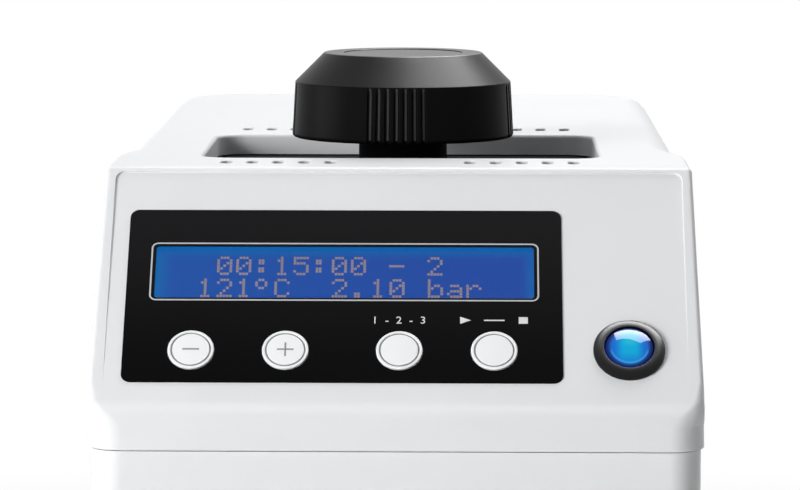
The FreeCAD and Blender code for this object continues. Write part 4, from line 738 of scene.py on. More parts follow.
def round_rect(x0: float, x1: float, y0: float, y1: float, radius: float, steps: int = 8) -> Outline:
    """A rectangle with quarter circles at its corners, anticlockwise.

    A corner's points are centre + radius (cos t, sin t), with t over a quarter turn.

    Args:
        x0: left side.
        x1: right side.
        y0: lower side.
        y1: upper side.
        radius: corner radius.
        steps: points on each corner.

    Returns:
        The outline.
    """
    turn = np.concatenate([quarter(steps) + k * math.pi / 2 for k in (-1, 0, 1, 2)])
    ways = np.stack([np.cos(turn), np.sin(turn)], 1)
    corners = np.array([(x1 - radius, y0 + radius), (x1 - radius, y1 - radius),
                        (x0 + radius, y1 - radius), (x0 + radius, y0 + radius)])
    centres = np.repeat(corners, steps, axis=0)
    return Outline(centres + radius * ways, ways)


def circle(x: float, y: float, radius: float, steps: int = 64) -> Outline:
    """A circle, anticlockwise: centre + radius (cos t, sin t).

    Args:
        x: centre.
        y: centre.
        radius: its radius.
        steps: number of points.

    Returns:
        The outline.
    """
    turn = np.arange(steps) * TAU / steps
    ways = np.stack([np.cos(turn), np.sin(turn)], 1)
    return Outline(np.array([[x, y]]) + radius * ways, ways)


def rounded_path(corners: Sequence[Span], radii: Sequence[float], steps: int = 6) -> Array:
    """An open line through corners, each turned into a tangent arc of its own radius.

    The arc's centre lies on the bisector, at radius / sin(half the inner angle) from the corner.

    Args:
        corners: the line's corners.
        radii: one radius per inner corner.
        steps: points on each arc.

    Returns:
        The line's points.
    """
    spots = np.array(corners, float)
    made = [spots[:1]]
    for before, corner, after, radius in zip(spots, spots[1:], spots[2:], radii):
        if radius <= 0:
            made.append(corner[None])
            continue
        back = (before - corner) / np.linalg.norm(before - corner)
        ahead = (after - corner) / np.linalg.norm(after - corner)
        half = math.acos(np.clip(back @ ahead, -1, 1)) / 2
        reach = radius / math.tan(half)
        middle = corner + (back + ahead) / np.linalg.norm(back + ahead) * radius / math.sin(half)
        first, last = corner + back * reach - middle, corner + ahead * reach - middle
        share = np.linspace(0, 1, steps)[:, None]
        angle = math.acos(np.clip(first @ last / radius ** 2, -1, 1))
        swept = np.sin((1 - share) * angle) * first + np.sin(share * angle) * last
        made.append(middle + swept / math.sin(angle))
    made.append(spots[-1:])
    return np.concatenate(made)


def upright(x: float = 0.0, y: float = 0.0, z: float = 0.0) -> Place:
    """A frame that only shifts."""
    return Place(np.array([x, y, z]), np.array([1.0, 0, 0]), np.array([0, 1.0, 0]), np.array([0, 0, 1.0]))


def rearward(x: float, y: float, z: float) -> Place:
    """A frame whose third axis points to the rear, with Z up."""
    return Place(np.array([x, y, z]), np.array([-1.0, 0, 0]), np.array([0, 0, 1.0]), np.array([0, 1.0, 0]))


def at_height(flat: Array, height: Measure) -> Array:
    """Points of a plane given a third coordinate."""
    column = np.broadcast_to(np.reshape(height, (-1, 1)), (len(flat), 1))
    return np.concatenate([flat, column], 1)


def quarter(steps: int) -> Array:
    """Angles over a quarter turn, in radians."""
    return np.linspace(0, math.pi / 2, steps)


def edge_steps(radius: Measure, steps: int = 4) -> list[Span]:
    """Inset and drop along a quarter round: radius (1 - cos t) and radius (1 - sin t).

    Args:
        radius: the round's radius.
        steps: number of points.

    Returns:
        Pairs of inset and drop from the side to the top.
    """
    turns = quarter(steps)
    return [(radius * (1 - math.cos(t)), radius * (1 - math.sin(t))) for t in turns]


def brim(hole: Outline, top: Measure, edge: Measure, steps: int = 4) -> list[Array]:
    """Loops down an opening's rounded brim, from the face around it to its wall.

    Args:
        hole: the opening below its brim.
        top: height of the face, one for all points or one each.
        edge: the round's radius, one for all points or one each.
        steps: number of loops.

    Returns:
        The loops.
    """
    return [at_height(hole.grown(out), top - drop) for out, drop in reversed(edge_steps(edge, steps))]


class Shape:
    """Patches of one mesh, gathered as arrays and joined at the end."""

    def __init__(self, place: Optional[Place] = None) -> None:
        """Start with no patches.

        Args:
            place: frame that local points are given in.
        """
        self.place = place or upright()
        self.points: list[Array] = []
        self.faces: list[tuple[int, ...]] = []
        self.count = 0
        self.regions: list[list[Array]] = []

    def _add(self, points: Array) -> Array:
        """Store points.

        Args:
            points: an array of any arrangement.

        Returns:
            Their numbers in the same arrangement.
        """
        flat = points.reshape(-1, 3)
        self.points.append(self.place.of(flat))
        numbers = np.arange(self.count, self.count + len(flat)).reshape(points.shape[:-1])
        self.count += len(flat)
        return numbers

    def grid(self, points: Array, closed: bool = False) -> "Shape":
        """A patch on a grid of points.

        Args:
            points: rows by columns by 3.
            closed: whether each row is a loop.

        Returns:
            This shape.
        """
        numbers = self._add(points)
        if closed:
            numbers = np.concatenate([numbers, numbers[:, :1]], 1)
        quads = np.stack([numbers[:-1, :-1], numbers[:-1, 1:], numbers[1:, 1:], numbers[1:, :-1]], -1)
        self.faces += [tuple(quad) for quad in quads.reshape(-1, 4).tolist()]
        return self

    def cap(self, loop: Array) -> "Shape":
        """One flat face inside a loop."""
        self.faces.append(tuple(self._add(loop).tolist()))
        return self

    def loft(self, loops: Sequence[Array], first: bool = True, last: bool = True) -> "Shape":
        """A skin over closed loops of equal count.

        Args:
            loops: the loops in order.
            first: whether the first loop is closed by a face.
            last: whether the last loop is closed by a face.

        Returns:
            This shape.
        """
        stack = np.stack(loops)
        self.grid(stack, closed=True)
        if first:
            self.cap(stack[0][::-1])
        if last:
            self.cap(stack[-1])
        return self

    def slab(self, outline: Outline, low: float, high: float, low_edge: float = 0.0,
             high_edge: float = 0.0) -> "Shape":
        """A plate of an outline, with rounded rims.

        Args:
            outline: its plan.
            low: height of its underside.
            high: height of its top.
            low_edge: radius of the lower rim.
            high_edge: radius of the upper rim.

        Returns:
            This shape.
        """
        foot = reversed(edge_steps(low_edge)) if low_edge else [(0, 0)]
        head = edge_steps(high_edge) if high_edge else [(0, 0)]
        levels = [(inset, low + drop) for inset, drop in foot]
        levels += [(inset, high - drop) for inset, drop in head]
        return self.loft([at_height(outline.grown(-inset), z) for inset, z in levels])

    def frame(self, outer: Outline, inner: Outline, low: float, high: float, edge: float = 0.0) -> "Shape":
        """A plate with one opening, both of equal point count, with rounded upper rims.

        Args:
            outer: outer outline.
            inner: outline of the opening.
            low: height of its underside.
            high: height of its top.
            edge: radius of the upper rims.

        Returns:
            This shape.
        """
        rounds = edge_steps(edge) if edge else [(0.0, 0.0)]
        loops = [at_height(outer.points, low)]
        loops += [at_height(outer.grown(-inset), high - drop) for inset, drop in rounds]
        loops += [at_height(inner.grown(inset), high - drop) for inset, drop in reversed(rounds)]
        loops += [at_height(inner.points, low), at_height(outer.points, low)]
        return self.grid(np.stack(loops), closed=True)

    def lathe(self, profile: Array, steps: int = 96) -> "Shape":
        """A profile of (radius, height) turned about the third axis.

        A point is (r cos t, r sin t, z) for t over a full turn; a radius of 0 closes the pole.

        Args:
            profile: the profile's points, outer surface on its left when it rises.
            steps: points round.

        Returns:
            This shape.
        """
        turn = np.arange(steps) * TAU / steps
        rings = np.stack([np.outer(profile[:, 0], np.cos(turn)), np.outer(profile[:, 0], np.sin(turn)),
                          np.repeat(profile[:, 1:2], steps, 1)], -1)
        return self.grid(rings, closed=True)

    def region(self, loops: Sequence[Array]) -> "Shape":
        """A flat face with openings, filled when the mesh is made.

        Args:
            loops: the outer loop first, then the openings.

        Returns:
            This shape.
        """
        self.regions.append([self.place.of(loop) for loop in loops])
        return self

    def build(self, name: str, sharp: float = 32.0, recalculate: bool = True) -> Piece:
        """Join the patches, close seams and make the object.

        Args:
            name: the piece's name.
            sharp: angle in degrees above which an edge stays sharp.
            recalculate: whether normals are turned outwards.

        Returns:
            The new object, at the origin, in metres.
        """
        mesh = bpy.data.meshes.new(name)
        points = np.concatenate(self.points) * MM if self.points else np.zeros((0, 3))
        mesh.from_pydata(points, [], self.faces)
        work = bmesh.new()
        work.from_mesh(mesh)
        for loops in self.regions:
            edges = []
            for loop in loops:
                verts = [work.verts.new(spot) for spot in (loop * MM).tolist()]
                edges += [work.edges.new((verts[k - 1], verts[k])) for k in range(len(verts))]
            bmesh.ops.triangle_fill(work, use_beauty=True, use_dissolve=False, edges=edges)
        bmesh.ops.remove_doubles(work, verts=work.verts, dist=WELD)
        bmesh.ops.dissolve_degenerate(work, edges=work.edges, dist=WELD)
        if recalculate:
            bmesh.ops.recalc_face_normals(work, faces=work.faces)
        work.to_mesh(mesh)
        work.free()
        mesh.polygons.foreach_set("use_smooth", np.ones(len(mesh.polygons), bool))
        mesh.set_sharp_from_angle(angle=math.radians(sharp))
        made = new_object(name, mesh)
        weighted = made.modifiers.new("weighted", "WEIGHTED_NORMAL")
        weighted.keep_sharp = True
        return made


# ---- housing

# places on the panel: each key's across, the keys' up the slope, and the button's
KEYS = {"minus": -63.4, "plus": -34.2, "program": 1.0, "start": 30.3}
KEY_LINE = 13.1
BUTTON = (71.9, 13.4)
# stations along the cover's edge, round its fillets, down its rear and under its sides
STATIONS = {"skirt": 4, "nose": 11, "slope": 13, "lip": 6, "side": 40, "corner": 11, "stern": 4}
FILLET, REAR_ROWS, UNDER = 9, 6, 12
ACROSS = np.linspace(-1, 1, 7)
MIRROR = np.array([-1.0, 1, 1])


def level_row(end: Array, shares: Array) -> Array:
    """Points level with an edge point, at shares of its distance from the middle plane."""
    return end * np.stack([shares, np.ones_like(shares), np.ones_like(shares)], -1)


def eased(share: Array) -> Array:
    """A smooth step from 0 to 1: s^2 (3 - 2 s)."""
    return share * share * (3 - 2 * share)


@dataclass
class Housing:
    """The moulded housing, in millimetres; its outer sizes come from the frame."""

    seam: float = 160.0
    nose_rise: float = 12.0
    nose_radius: float = 12.0
    rim_angle: float = 47.7
    panel_angle: float = 47.2
    panel_start: float = 10.0
    panel_length: float = 82.6
    panel_half: float = 90.0
    panel_corner: float = 3.0
    lip_radius: float = 2.4
    window_opening: Box = (-77.4, 44.4, 31.4, 54.8)
    window_corner: float = 1.0
    key_opening: float = 7.5
    button_opening: float = 8.75
    front_corner: float = 11.0
    packed_corner: float = 8.0
    rear_corner: float = 28.0
    slope_edge: float = 1.6
    ease_start: float = 0.07
    ease_length: float = 0.16
    crown: float = 10.0
    crown_start: float = 42.0
    crown_full: float = 82.0
    least_edge: float = 0.3
    least_round: float = 1.0
    least_lip: float = 0.4
    draft: float = 1.65
    wall: float = 2.6
    depth: float = 410.0
    recess_half_x: float = 65.3
    recess_half_y: float = 49.0
    recess_centre: float = 149.0
    recess_corner: float = 10.0
    recess_wall_drop: float = 12.6
    recess_edge: float = 1.3
    vent_count: int = 5
    vent_first: float = 22.6
    vent_pitch: float = 8.4
    vent_width: float = 3.3
    vent_length: float = 12.4
    vent_rows: Span = (84.0, 221.5)
    vent_edge: float = 0.6
    step_edge: float = 0.3
    seam_edge: float = 0.6
    seam_gap: float = 0.6
    seam_closed: float = 0.3

    def __post_init__(self) -> None:
        """Read the cover's outer sizes from its box in the frame."""
        low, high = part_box("top_cover")
        self.half = high.x / MM
        self.front = low.y / MM
        self.top = high.z / MM
        self.rear = self.front + self.depth

    @property
    def recess_y(self) -> float:
        """Middle of the recess and axis of the lid."""
        return self.front + self.recess_centre

    def panel(self) -> Place:
        """The sunk panel's frame: across, up the slope and outwards.

        Returns:
            The frame.
        """
        rim, face = math.radians(self.rim_angle), math.radians(self.panel_angle)
        origin = np.array([0, self.front + self.panel_start * math.cos(rim),
                           self.seam + self.nose_rise + self.panel_start * math.sin(rim)])
        return Place(origin, np.array([1.0, 0, 0]), np.array([0, math.cos(face), math.sin(face)]),
                     np.array([0, -math.sin(face), math.cos(face)]))

    def base(self, inset: float) -> float:
        """Height where a skin's walls end; the outer one stops above its rounded lower edge."""
        return self.seam + (self.seam_edge if inset == 0 else 0.0)

    def rim_height(self, flat: Array, depth: float = 0.0) -> Array:
        """Height of the rim's plane over the panel's, less a depth, at panel points."""
        turn = math.radians(self.rim_angle - self.panel_angle)
        return flat[:, 1] * math.tan(turn) - depth / math.cos(turn)

    def width_at(self, z: Array, inset: float) -> Array:
        """Half width at a height; the sides lean in steadily from the seam to the top."""
        return self.half - inset - self.draft * (z - self.seam) / (self.top - self.seam)

    def edge_line(self, inset: float) -> tuple[Array, Array, Array, Array, dict[str, int]]:
        """The cover's right upper edge, from the seam in front round to the middle of the rear.

        It runs up the skirt, round the nose, up the slope, over the lip, back along the side and
        round the rear corner. Each station has a face normal, a wall normal and a fillet radius.

        Args:
            inset: distance inside the outer form.

        Returns:
            Edge points, face normals, wall normals, radii and the station number of each stretch.
        """
        count = STATIONS
        slope = math.radians(self.rim_angle)
        nose = math.pi / 2 - slope
        front, rear, top = self.front + inset, self.rear - inset, self.top - inset
        rise = self.seam + self.nose_rise - inset * (1 - math.sin(slope)) / math.cos(slope)
        nose_round = max(self.nose_radius - inset, self.least_round)
        lip_round = max(self.lip_radius - inset, self.least_lip)
        reach = nose_round * math.tan(nose / 2)
        centre = np.array([front + nose_round, rise - reach])
        skirt = np.stack([np.full(count["skirt"], front),
                          np.linspace(self.base(inset), rise - reach, count["skirt"])], 1)
        turn = np.linspace(0, nose, count["nose"] + 1)
        bend = centre + nose_round * np.stack([-np.cos(turn), np.sin(turn)], 1)
        lip_corner = np.array([front + (top - rise) / math.tan(slope), top])
        back = lip_round * math.tan(slope / 2)
        along = np.array([math.cos(slope), math.sin(slope)])
        climb = np.linspace(0, 1, count["slope"] + 1)[1:, None]
        ramp = bend[-1] + climb * (lip_corner - along * back - bend[-1])
        lip_centre = np.array([lip_corner[0] + back, top - lip_round])
        lip_turn = np.linspace(nose, math.pi / 2, count["lip"] + 1)[1:]
        lip = lip_centre + lip_round * np.stack([-np.cos(lip_turn), np.sin(lip_turn)], 1)
        corner = max(self.rear_corner - inset, self.least_round)
        side_end = rear - corner
        side = np.stack([np.linspace(lip[-1, 0], side_end, count["side"] + 1)[1:],
                         np.full(count["side"], top)], 1)
        profile = np.concatenate([skirt, bend[1:], ramp, lip, side])
        tilt = np.concatenate([np.zeros(count["skirt"]), turn[1:], np.full(count["slope"], nose), lip_turn,
                               np.full(count["side"], math.pi / 2)])
        faces = np.stack([0 * tilt, -np.cos(tilt), np.sin(tilt)], 1)
        points = np.stack([self.width_at(profile[:, 1], inset), profile[:, 0], profile[:, 1]], 1)
        swing = quarter(count["corner"] + 1)[1:]
        half = float(self.width_at(np.array(top), inset))
        bow = np.stack([half - corner + corner * np.cos(swing), side_end + corner * np.sin(swing),
                        np.full(len(swing), top)], 1)
        tail = level_row(np.array([half - corner, rear, top]), np.linspace(1, 0, count["stern"] + 1)[1:])
        points = np.concatenate([points, bow, tail])
        faces = np.concatenate([faces, np.tile([0, 0, 1.0], (len(bow) + len(tail), 1))])
        walls = np.concatenate([np.tile([1.0, 0, 0], (len(profile), 1)),
                                np.stack([np.cos(swing), np.sin(swing), 0 * swing], 1),
                                np.tile([0, 1.0, 0], (len(tail), 1))])
        marks = dict(zip(count, (np.cumsum(list(count.values())) - 1).tolist()))
        return points, faces, walls, self.edge_radii(points, marks, inset), marks

    def edge_radii(self, points: Array, marks: dict[str, int], inset: float) -> Array:
        """Fillet radius along the edge line.

        It eases from the front corner's radius down to the slope's small one, keeps that along the
        shoulder behind the lip, then eases up to the crown's.

        Args:
            points: the edge line.
            marks: the stretches' station numbers.
            inset: distance inside the outer form.

        Returns:
            One radius per station.
        """
        height = np.clip((points[:, 2] - points[0, 2]) / (points[marks["slope"], 2] - points[0, 2]), 0, 1)
        climb = np.clip((height - self.ease_start) / self.ease_length, 0, 1)
        front = self.front_corner + (self.slope_edge - self.front_corner) * eased(climb)
        behind = points[:, 1] - points[marks["lip"], 1]
        back = np.clip((behind - self.crown_start) / (self.crown_full - self.crown_start), 0, 1)
        back[:marks["slope"]] = 0
        return np.maximum(front + (self.crown - front) * eased(back) - inset, self.least_edge)

    def fill_corners(self, work: bmesh.types.BMesh) -> None:
        """Give a packed wall's front corners the cover's fuller radius.

        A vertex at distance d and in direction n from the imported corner's centre goes to the new
        centre plus n (d + growth), so a wall keeps its thickness; what lies near the centre stays.
        The rim below the cover comes up a little, which leaves a finer seam.

        Args:
            work: the wall's mesh, in metres.
        """
        rim = self.seam - self.seam_gap
        for vertex in work.verts:
            if abs(vertex.co.z / MM - rim) < self.step_edge * 0.1:
                vertex.co.z = (rim + self.seam_closed) * MM
        growth = self.front_corner - self.packed_corner
        middle = np.array([self.half - self.packed_corner, -self.front - self.packed_corner])
        for vertex in work.verts:
            away = np.array([abs(vertex.co.x), -vertex.co.y]) / MM - middle
            reach = float(np.hypot(*away))
            if away.min() < -self.step_edge * 0.01 or reach < self.packed_corner / 2:
                continue
            across, ahead = middle - growth + away * (reach + growth) / reach
            vertex.co.x = math.copysign(across, vertex.co.x) * MM
            vertex.co.y = -ahead * MM

    def skin(self, shape: Shape, inset: float, slope_holes: Sequence[Array],
             top_holes: Sequence[Array]) -> Array:
        """Add one skin of the cover: faces across, fillets along the edge line, and walls.

        A fillet point is E - r (f + w) + r (f cos a + w sin a), with E on the edge line, f and w
        the face and wall normals and a over a quarter turn; x is then scaled to the leaning side.

        Args:
            shape: where the patches go.
            inset: distance inside the outer form.
            slope_holes: openings in the slope.
            top_holes: openings in the top.

        Returns:
            The skin's lower edge, as a loop.
        """
        edge, face, wall, radius, marks = self.edge_line(inset)
        around = quarter(FILLET)[None, :, None]
        centre = edge - radius[:, None] * (face + wall)
        arcs = centre[:, None] + radius[:, None, None] * (face[:, None] * np.cos(around)
                                                          + wall[:, None] * np.sin(around))
        arcs[..., 0] *= self.width_at(arcs[..., 2], inset) / self.width_at(edge[:, 2], inset)[:, None]
        inner, outer = arcs[:, 0], arcs[:, -1]
        for first, last in ((0, marks["nose"]), (marks["slope"], marks["lip"])):
            shape.grid(level_row(inner[first:last + 1, None], ACROSS))
        ramp, rim = inner[marks["nose"]:marks["slope"] + 1], inner[marks["lip"]:]
        line = ACROSS[1:-1]
        shape.region([np.concatenate([ramp, level_row(ramp[-1], -line), (ramp * MIRROR)[::-1],
                                      level_row(ramp[0], line)]), *slope_holes])
        shape.region([np.concatenate([rim, (rim * MIRROR)[::-1][1:], level_row(rim[0], line)]), *top_holes])
        stern = outer[marks["side"]:]
        drop = np.repeat(stern[:, None], REAR_ROWS, 1)
        drop[..., 2] += (self.base(inset) - stern[:, None, 2]) * np.linspace(0, 1, REAR_ROWS)
        drop[..., 0] *= self.width_at(drop[..., 2], inset) / self.width_at(stern[:, 2], inset)[:, None]
        flank, rise = outer[marks["skirt"]:marks["side"] + 1], outer[1:marks["skirt"]]
        under = np.linspace(drop[0, -1], outer[0], UNDER)
        for side in (np.ones(3), MIRROR):
            shape.grid(arcs * side)
            shape.region([np.concatenate([flank, drop[0, 1:-1], under, rise]) * side])
            shape.grid(drop * side)
        half_loop = np.concatenate([arcs[0], under[::-1], drop[1:, -1]])
        front = level_row(inner[0], ACROSS)
        return np.concatenate([front[1:], half_loop[1:], (half_loop * MIRROR)[::-1][1:]])

    def cover(self) -> Piece:
        """The top cover: two skins, their rim at the seam, and every opening between them.

        Returns:
            The new piece.
        """
        shape = Shape()
        panel = self.panel()
        sink = round_rect(-self.panel_half, self.panel_half, 0, self.panel_length, self.panel_corner, 6)
        depth = self.rim_height(sink.points)
        rings = brim(sink, depth, np.minimum(self.step_edge, depth / 2)) + [at_height(sink.points, 0)]
        rings = [panel.of(ring) for ring in rings]
        shape.grid(np.stack(rings), closed=True)
        face_holes, inner_holes = [], []
        for hole in self.panel_openings():
            loops = [panel.of(at_height(hole.points, 0)),
                     panel.of(at_height(hole.points, self.rim_height(hole.points, self.wall)))]
            shape.grid(np.stack(loops), closed=True)
            face_holes.append(loops[0])
            inner_holes.append(loops[1])
        shape.region([rings[-1], *face_holes])
        roof, low = self.top - self.wall, self.top - self.recess_wall_drop
        recess = round_rect(-self.recess_half_x, self.recess_half_x, self.recess_y - self.recess_half_y,
                            self.recess_y + self.recess_half_y, self.recess_corner)
        openings = [brim(recess, self.top, self.recess_edge, 6)
                    + [at_height(recess.points, low), at_height(recess.grown(self.wall), low),
                       at_height(recess.grown(self.wall), roof)]]
        openings += [brim(vent, self.top, self.vent_edge) + [at_height(vent.points, roof)]
                     for vent in self.vents()]
        for loops in openings:
            shape.grid(np.stack(loops), closed=True)
        outer = self.skin(shape, 0.0, [rings[0]], [loops[0] for loops in openings])
        inner = self.skin(shape, self.wall, inner_holes, [loops[-1] for loops in openings])
        turn = quarter(5)[:, None, None]
        brink = outer + (inner - outer) * (1 - np.cos(turn)) * self.seam_edge / self.wall
        brink[..., 2] = self.seam + self.seam_edge * (1 - np.sin(turn[..., 0]))
        shape.grid(np.concatenate([brink, inner[None]]), closed=True)
        return shape.build("cover_skin")

    def vents(self) -> list[Outline]:
        """Outlines of the slots before and behind the recess.

        Returns:
            One outline per slot.
        """
        half, reach = self.vent_width / 2, self.vent_length / 2
        spots = [(side * (self.vent_first + index * self.vent_pitch), self.front + row)
                 for row in self.vent_rows for side in (-1, 1) for index in range(self.vent_count)]
        return [round_rect(x - half, x + half, y - reach, y + reach, half - 0.02, 5) for x, y in spots]

    def panel_openings(self) -> list[Outline]:
        """Openings of the panel: window, keys and button."""
        return [round_rect(*self.window_opening, self.window_corner, 4),
                *(circle(x, KEY_LINE, self.key_opening, 40) for x in KEYS.values()),
                circle(*BUTTON, self.button_opening, 40)]


# ---- control panel

CAPITAL = 0.7  # height of a capital over the size of its type


def letters(text: str, height: float, x: float, y: float) -> list[Array]:
    """Flat characters as triangles on a plane, centred on a point.

    Args:
        text: the characters.
        height: height of a capital, in millimetres.
        x: middle across.
        y: middle up.

    Returns:
        Triangles as 3 by 2 arrays in millimetres.
    """
    curve = bpy.data.curves.new("letters", "FONT")
    curve.body = text
    curve.size = height / CAPITAL
    curve.resolution_u = 3
    holder = new_object("letters", curve)
    mesh = bpy.data.meshes.new_from_object(holder)
    spots = np.array([vertex.co[:2] for vertex in mesh.vertices])
    mesh.calc_loop_triangles()
    corners = [list(triangle.vertices) for triangle in mesh.loop_triangles]
    bpy.data.objects.remove(holder)
    spots += np.array([x, y]) - (spots.max(0) + spots.min(0)) / 2
    return [spots[corner] for corner in corners]


GLYPHS = {
    "0": "01110 10001 10011 10101 11001 10001 01110",
    "1": "00100 01100 00100 00100 00100 00100 01110",
    "2": "01110 10001 00001 00010 00100 01000 11111",
    "5": "11111 10000 11110 00001 00001 10001 01110",
    ":": "00000 01100 01100 00000 01100 01100 00000",
    ".": "00000 00000 00000 00000 00000 01100 01100",
    "-": "00000 00000 00000 11111 00000 00000 00000",
    "C": "01110 10001 10000 10000 10000 10001 01110",
    "*": "01100 10010 10010 01100 00000 00000 00000",
    "b": "10000 10000 10110 11001 10001 10001 11110",
    "a": "00000 00000 01110 00001 01111 10001 01111",
    "r": "00000 00000 10110 11001 10000 10000 10000",
}


@dataclass
class SubAssembly:
    """A group of pieces, in millimetres, fitted through the workshop."""

    shop: Workshop


@dataclass
class ControlPanel(SubAssembly):
    """Foil, display and keys on the slope, in panel millimetres: across, up the slope, outwards."""

    housing: Housing
    foil: Box = (-84.6, 51.5, 1.0, 67.4)
    foil_thickness: float = 0.4
    foil_corner: float = 3.0
    foil_edge: float = 0.16
    window: Box = (-75.75, 42.75, 33.1, 53.1)
    window_rim: float = 1.6
    line: Box = (-77.3, 44.3, 31.9, 54.35)
    line_width: float = 0.5
    line_corner: float = 2.2
    print_height: float = 0.02
    print_sink: float = 0.01
    window_depth: float = 0.05
    window_thickness: float = 1.0
    glass_depth: float = 1.4
    glass_thickness: float = 2.0
    key_radius: float = 7.2
    key_gap: float = 0.28
    key_proud: float = 0.7
    key_edge: float = 0.3
    key_crown: float = 0.12
    groove: float = 6.02
    groove_width: float = 0.56
    groove_depth: float = 0.3
    flange_radius: float = 8.6
    flange_low: float = -3.7
    flange_high: float = -2.9
    sign_width: float = 0.55
    sign_half: float = 2.6
    label_line: float = 24.6
    label_height: float = 2.7
    play: Span = (-10.6, -7.2)
    dash: Span = (-3.2, 3.2)
    dash_half: float = 0.22
    stop: Span = (7.6, 10.4)
    stop_inset: float = 0.1
    rows: tuple[tuple[float, float, str], ...] = ((-62.6, 43.1, " 00:15:00 - 2"),
                                                  (-68.4, 34.5, " 121*C  2.10 bar"))
    cell: float = 6.0
    dot: Span = (0.98, 1.04)
    dot_gap: float = 0.16
    dot_height: float = 0.05

    @property
    def place(self) -> Place:
        """The panel's frame."""
        return self.housing.panel()

    def build(self) -> None:
        """Build every piece of the panel and fit it."""
        shop = self.shop
        x0, x1, y0, y1 = self.window
        middle = self.place.at((x0 + x1) / 2, (y0 + y1) / 2)
        paper = ShadedFoilPrint(self.place, (self.foil[2] * MM, self.foil[3] * MM))
        cell = Crystal(middle, (x1 - x0) / 2 * MM, (y1 - y0) / 2 * MM)
        shop.fit(self.make_foil(), "housing", Slot.FOIL, "control_foil",
                 material=paper.make("foil_print_shaded"))
        shop.fit(self.make_line(), "housing", Slot.KEY, finish="line")
        shop.fit(self.make_window(), "housing", Slot.WINDOW, "display_window")
        shop.fit(self.make_glass(), "housing", Slot.DISPLAY, "display_glass",
                 material=cell.make("crystal_lit"))
        shop.fit(self.make_dots(), "housing", Slot.KEY, finish="dots")
        shop.fit(self.make_labels(), "housing", Slot.KEY, finish="print_light")
        for name, x in KEYS.items():
            shop.fit(self.make_key(name, x), f"key_{name}", Slot.KEY, f"key_{name}")
            # the sign piece carries the printed bar or cross and painted shade in the key's ring groove
            shop.fit(self.make_sign(name, x), f"key_{name}", Slot.KEY, finish="grey_print_and_groove_shade")

    def make_foil(self) -> Piece:
        """The foil: two faces with openings, and rounded rims between them.

        Returns:
            The piece.
        """
        shape = Shape(self.place)
        openings = [round_rect(*self.window, 1.0, 6)]
        openings += [circle(x, KEY_LINE, self.key_radius + self.key_gap, 48) for x in KEYS.values()]
        outer = round_rect(*self.foil, self.foil_corner, 10)
        lower, upper = [], []
        for outline, way in [(outer, -1), *((hole, 1) for hole in openings)]:
            loops = [at_height(outline.points, 0.0)]
            loops += [at_height(outline.grown(way * inset), self.foil_thickness - drop)
                      for inset, drop in edge_steps(self.foil_edge)]
            shape.grid(np.stack(loops), closed=True)
            lower.append(loops[0])
            upper.append(loops[-1])
        return shape.region(lower).region(upper).build("foil_sheet")

    def make_line(self) -> Piece:
        """The thin white line printed round the window.

        Returns:
            The piece.
        """
        x0, x1, y0, y1 = self.line
        width = self.line_width
        outer = round_rect(x0, x1, y0, y1, self.line_corner, 10)
        inner = round_rect(x0 + width, x1 - width, y0 + width, y1 - width, self.line_corner - width, 10)
        top = self.foil_thickness
        shape = Shape(self.place).frame(outer, inner, top - self.print_sink, top + self.print_height)
        return shape.build("window_line")

    def behind(self) -> Outline:
        """The outline of what lies behind the window: its opening with a margin all round.

        Returns:
            The outline.
        """
        x0, x1, y0, y1 = self.window
        rim = self.window_rim
        return round_rect(x0 - rim, x1 + rim, y0 - rim, y1 + rim, 1.0)

    def make_window(self) -> Piece:
        """The clear plate behind the foil's opening, with rounded rims."""
        shape = Shape(self.place).slab(self.behind(), -self.window_thickness, -self.window_depth, 0.1, 0.15)
        return shape.build("window_plate")

    def make_glass(self) -> Piece:
        """The liquid crystal cell: two thin glasses with a step where they meet.

        Returns:
            The piece.
        """
        outline = self.behind()
        top, low = -self.glass_depth, -self.glass_depth - self.glass_thickness
        middle, edge, step = (top + low) / 2, 0.1, 0.35
        levels = ((edge, low), (0.0, low + edge), (0.0, middle), (step, middle), (step, top - edge),
                  (step + edge, top))
        loops = [at_height(outline.grown(-inset), z) for inset, z in levels]
        return Shape(self.place).loft(loops).build("crystal_cell")

    def make_dots(self) -> Piece:
        """The lit dots of the two rows, each a low square with four sides.

        Returns:
            The piece.
        """
        wide, tall = self.dot
        spots = [(left + column * self.cell + over * wide, low + (6 - down) * tall)
                 for left, low, text in self.rows for column, letter in enumerate(text)
                 for down, line in enumerate(GLYPHS.get(letter, "").split())
                 for over, mark in enumerate(line) if mark == "1"]
        square = np.array([(0, 0), (1, 0), (1, 1), (0, 1)]) * (np.array(self.dot) - self.dot_gap)
        shape = Shape(self.place)
        low = -self.glass_depth - self.print_sink
        for spot in spots:
            shape.loft([at_height(square + spot, low), at_height(square + spot, low + self.dot_height)])
        return shape.build("display_dots")

    def make_labels(self) -> Piece:
        """Plain marks over the two right-hand keys: figures, and a start and a stop sign.

        Returns:
            The piece.
        """
        shape = Shape(self.place)
        low, high = self.foil_thickness - self.print_sink, self.foil_thickness + self.print_height
        y, half, inner = self.label_line, self.label_height / 2, self.label_height / 2 - self.stop_inset
        play = np.array([(self.play[0], -half), (self.play[1], 0), (self.play[0], half)])
        marks = [play + np.array([KEYS["start"], y])]
        for (left, right), rise in ((self.dash, self.dash_half), (self.stop, inner)):
            block = np.array([(left, -rise), (right, -rise), (right, rise), (left, rise)])
            marks.append(block + np.array([KEYS["start"], y]))
        for mark in letters("1  -  2  -  3", self.label_height, KEYS["program"], y) + marks:
            shape.loft([at_height(mark, low), at_height(mark, high)])
        return shape.build("key_labels")

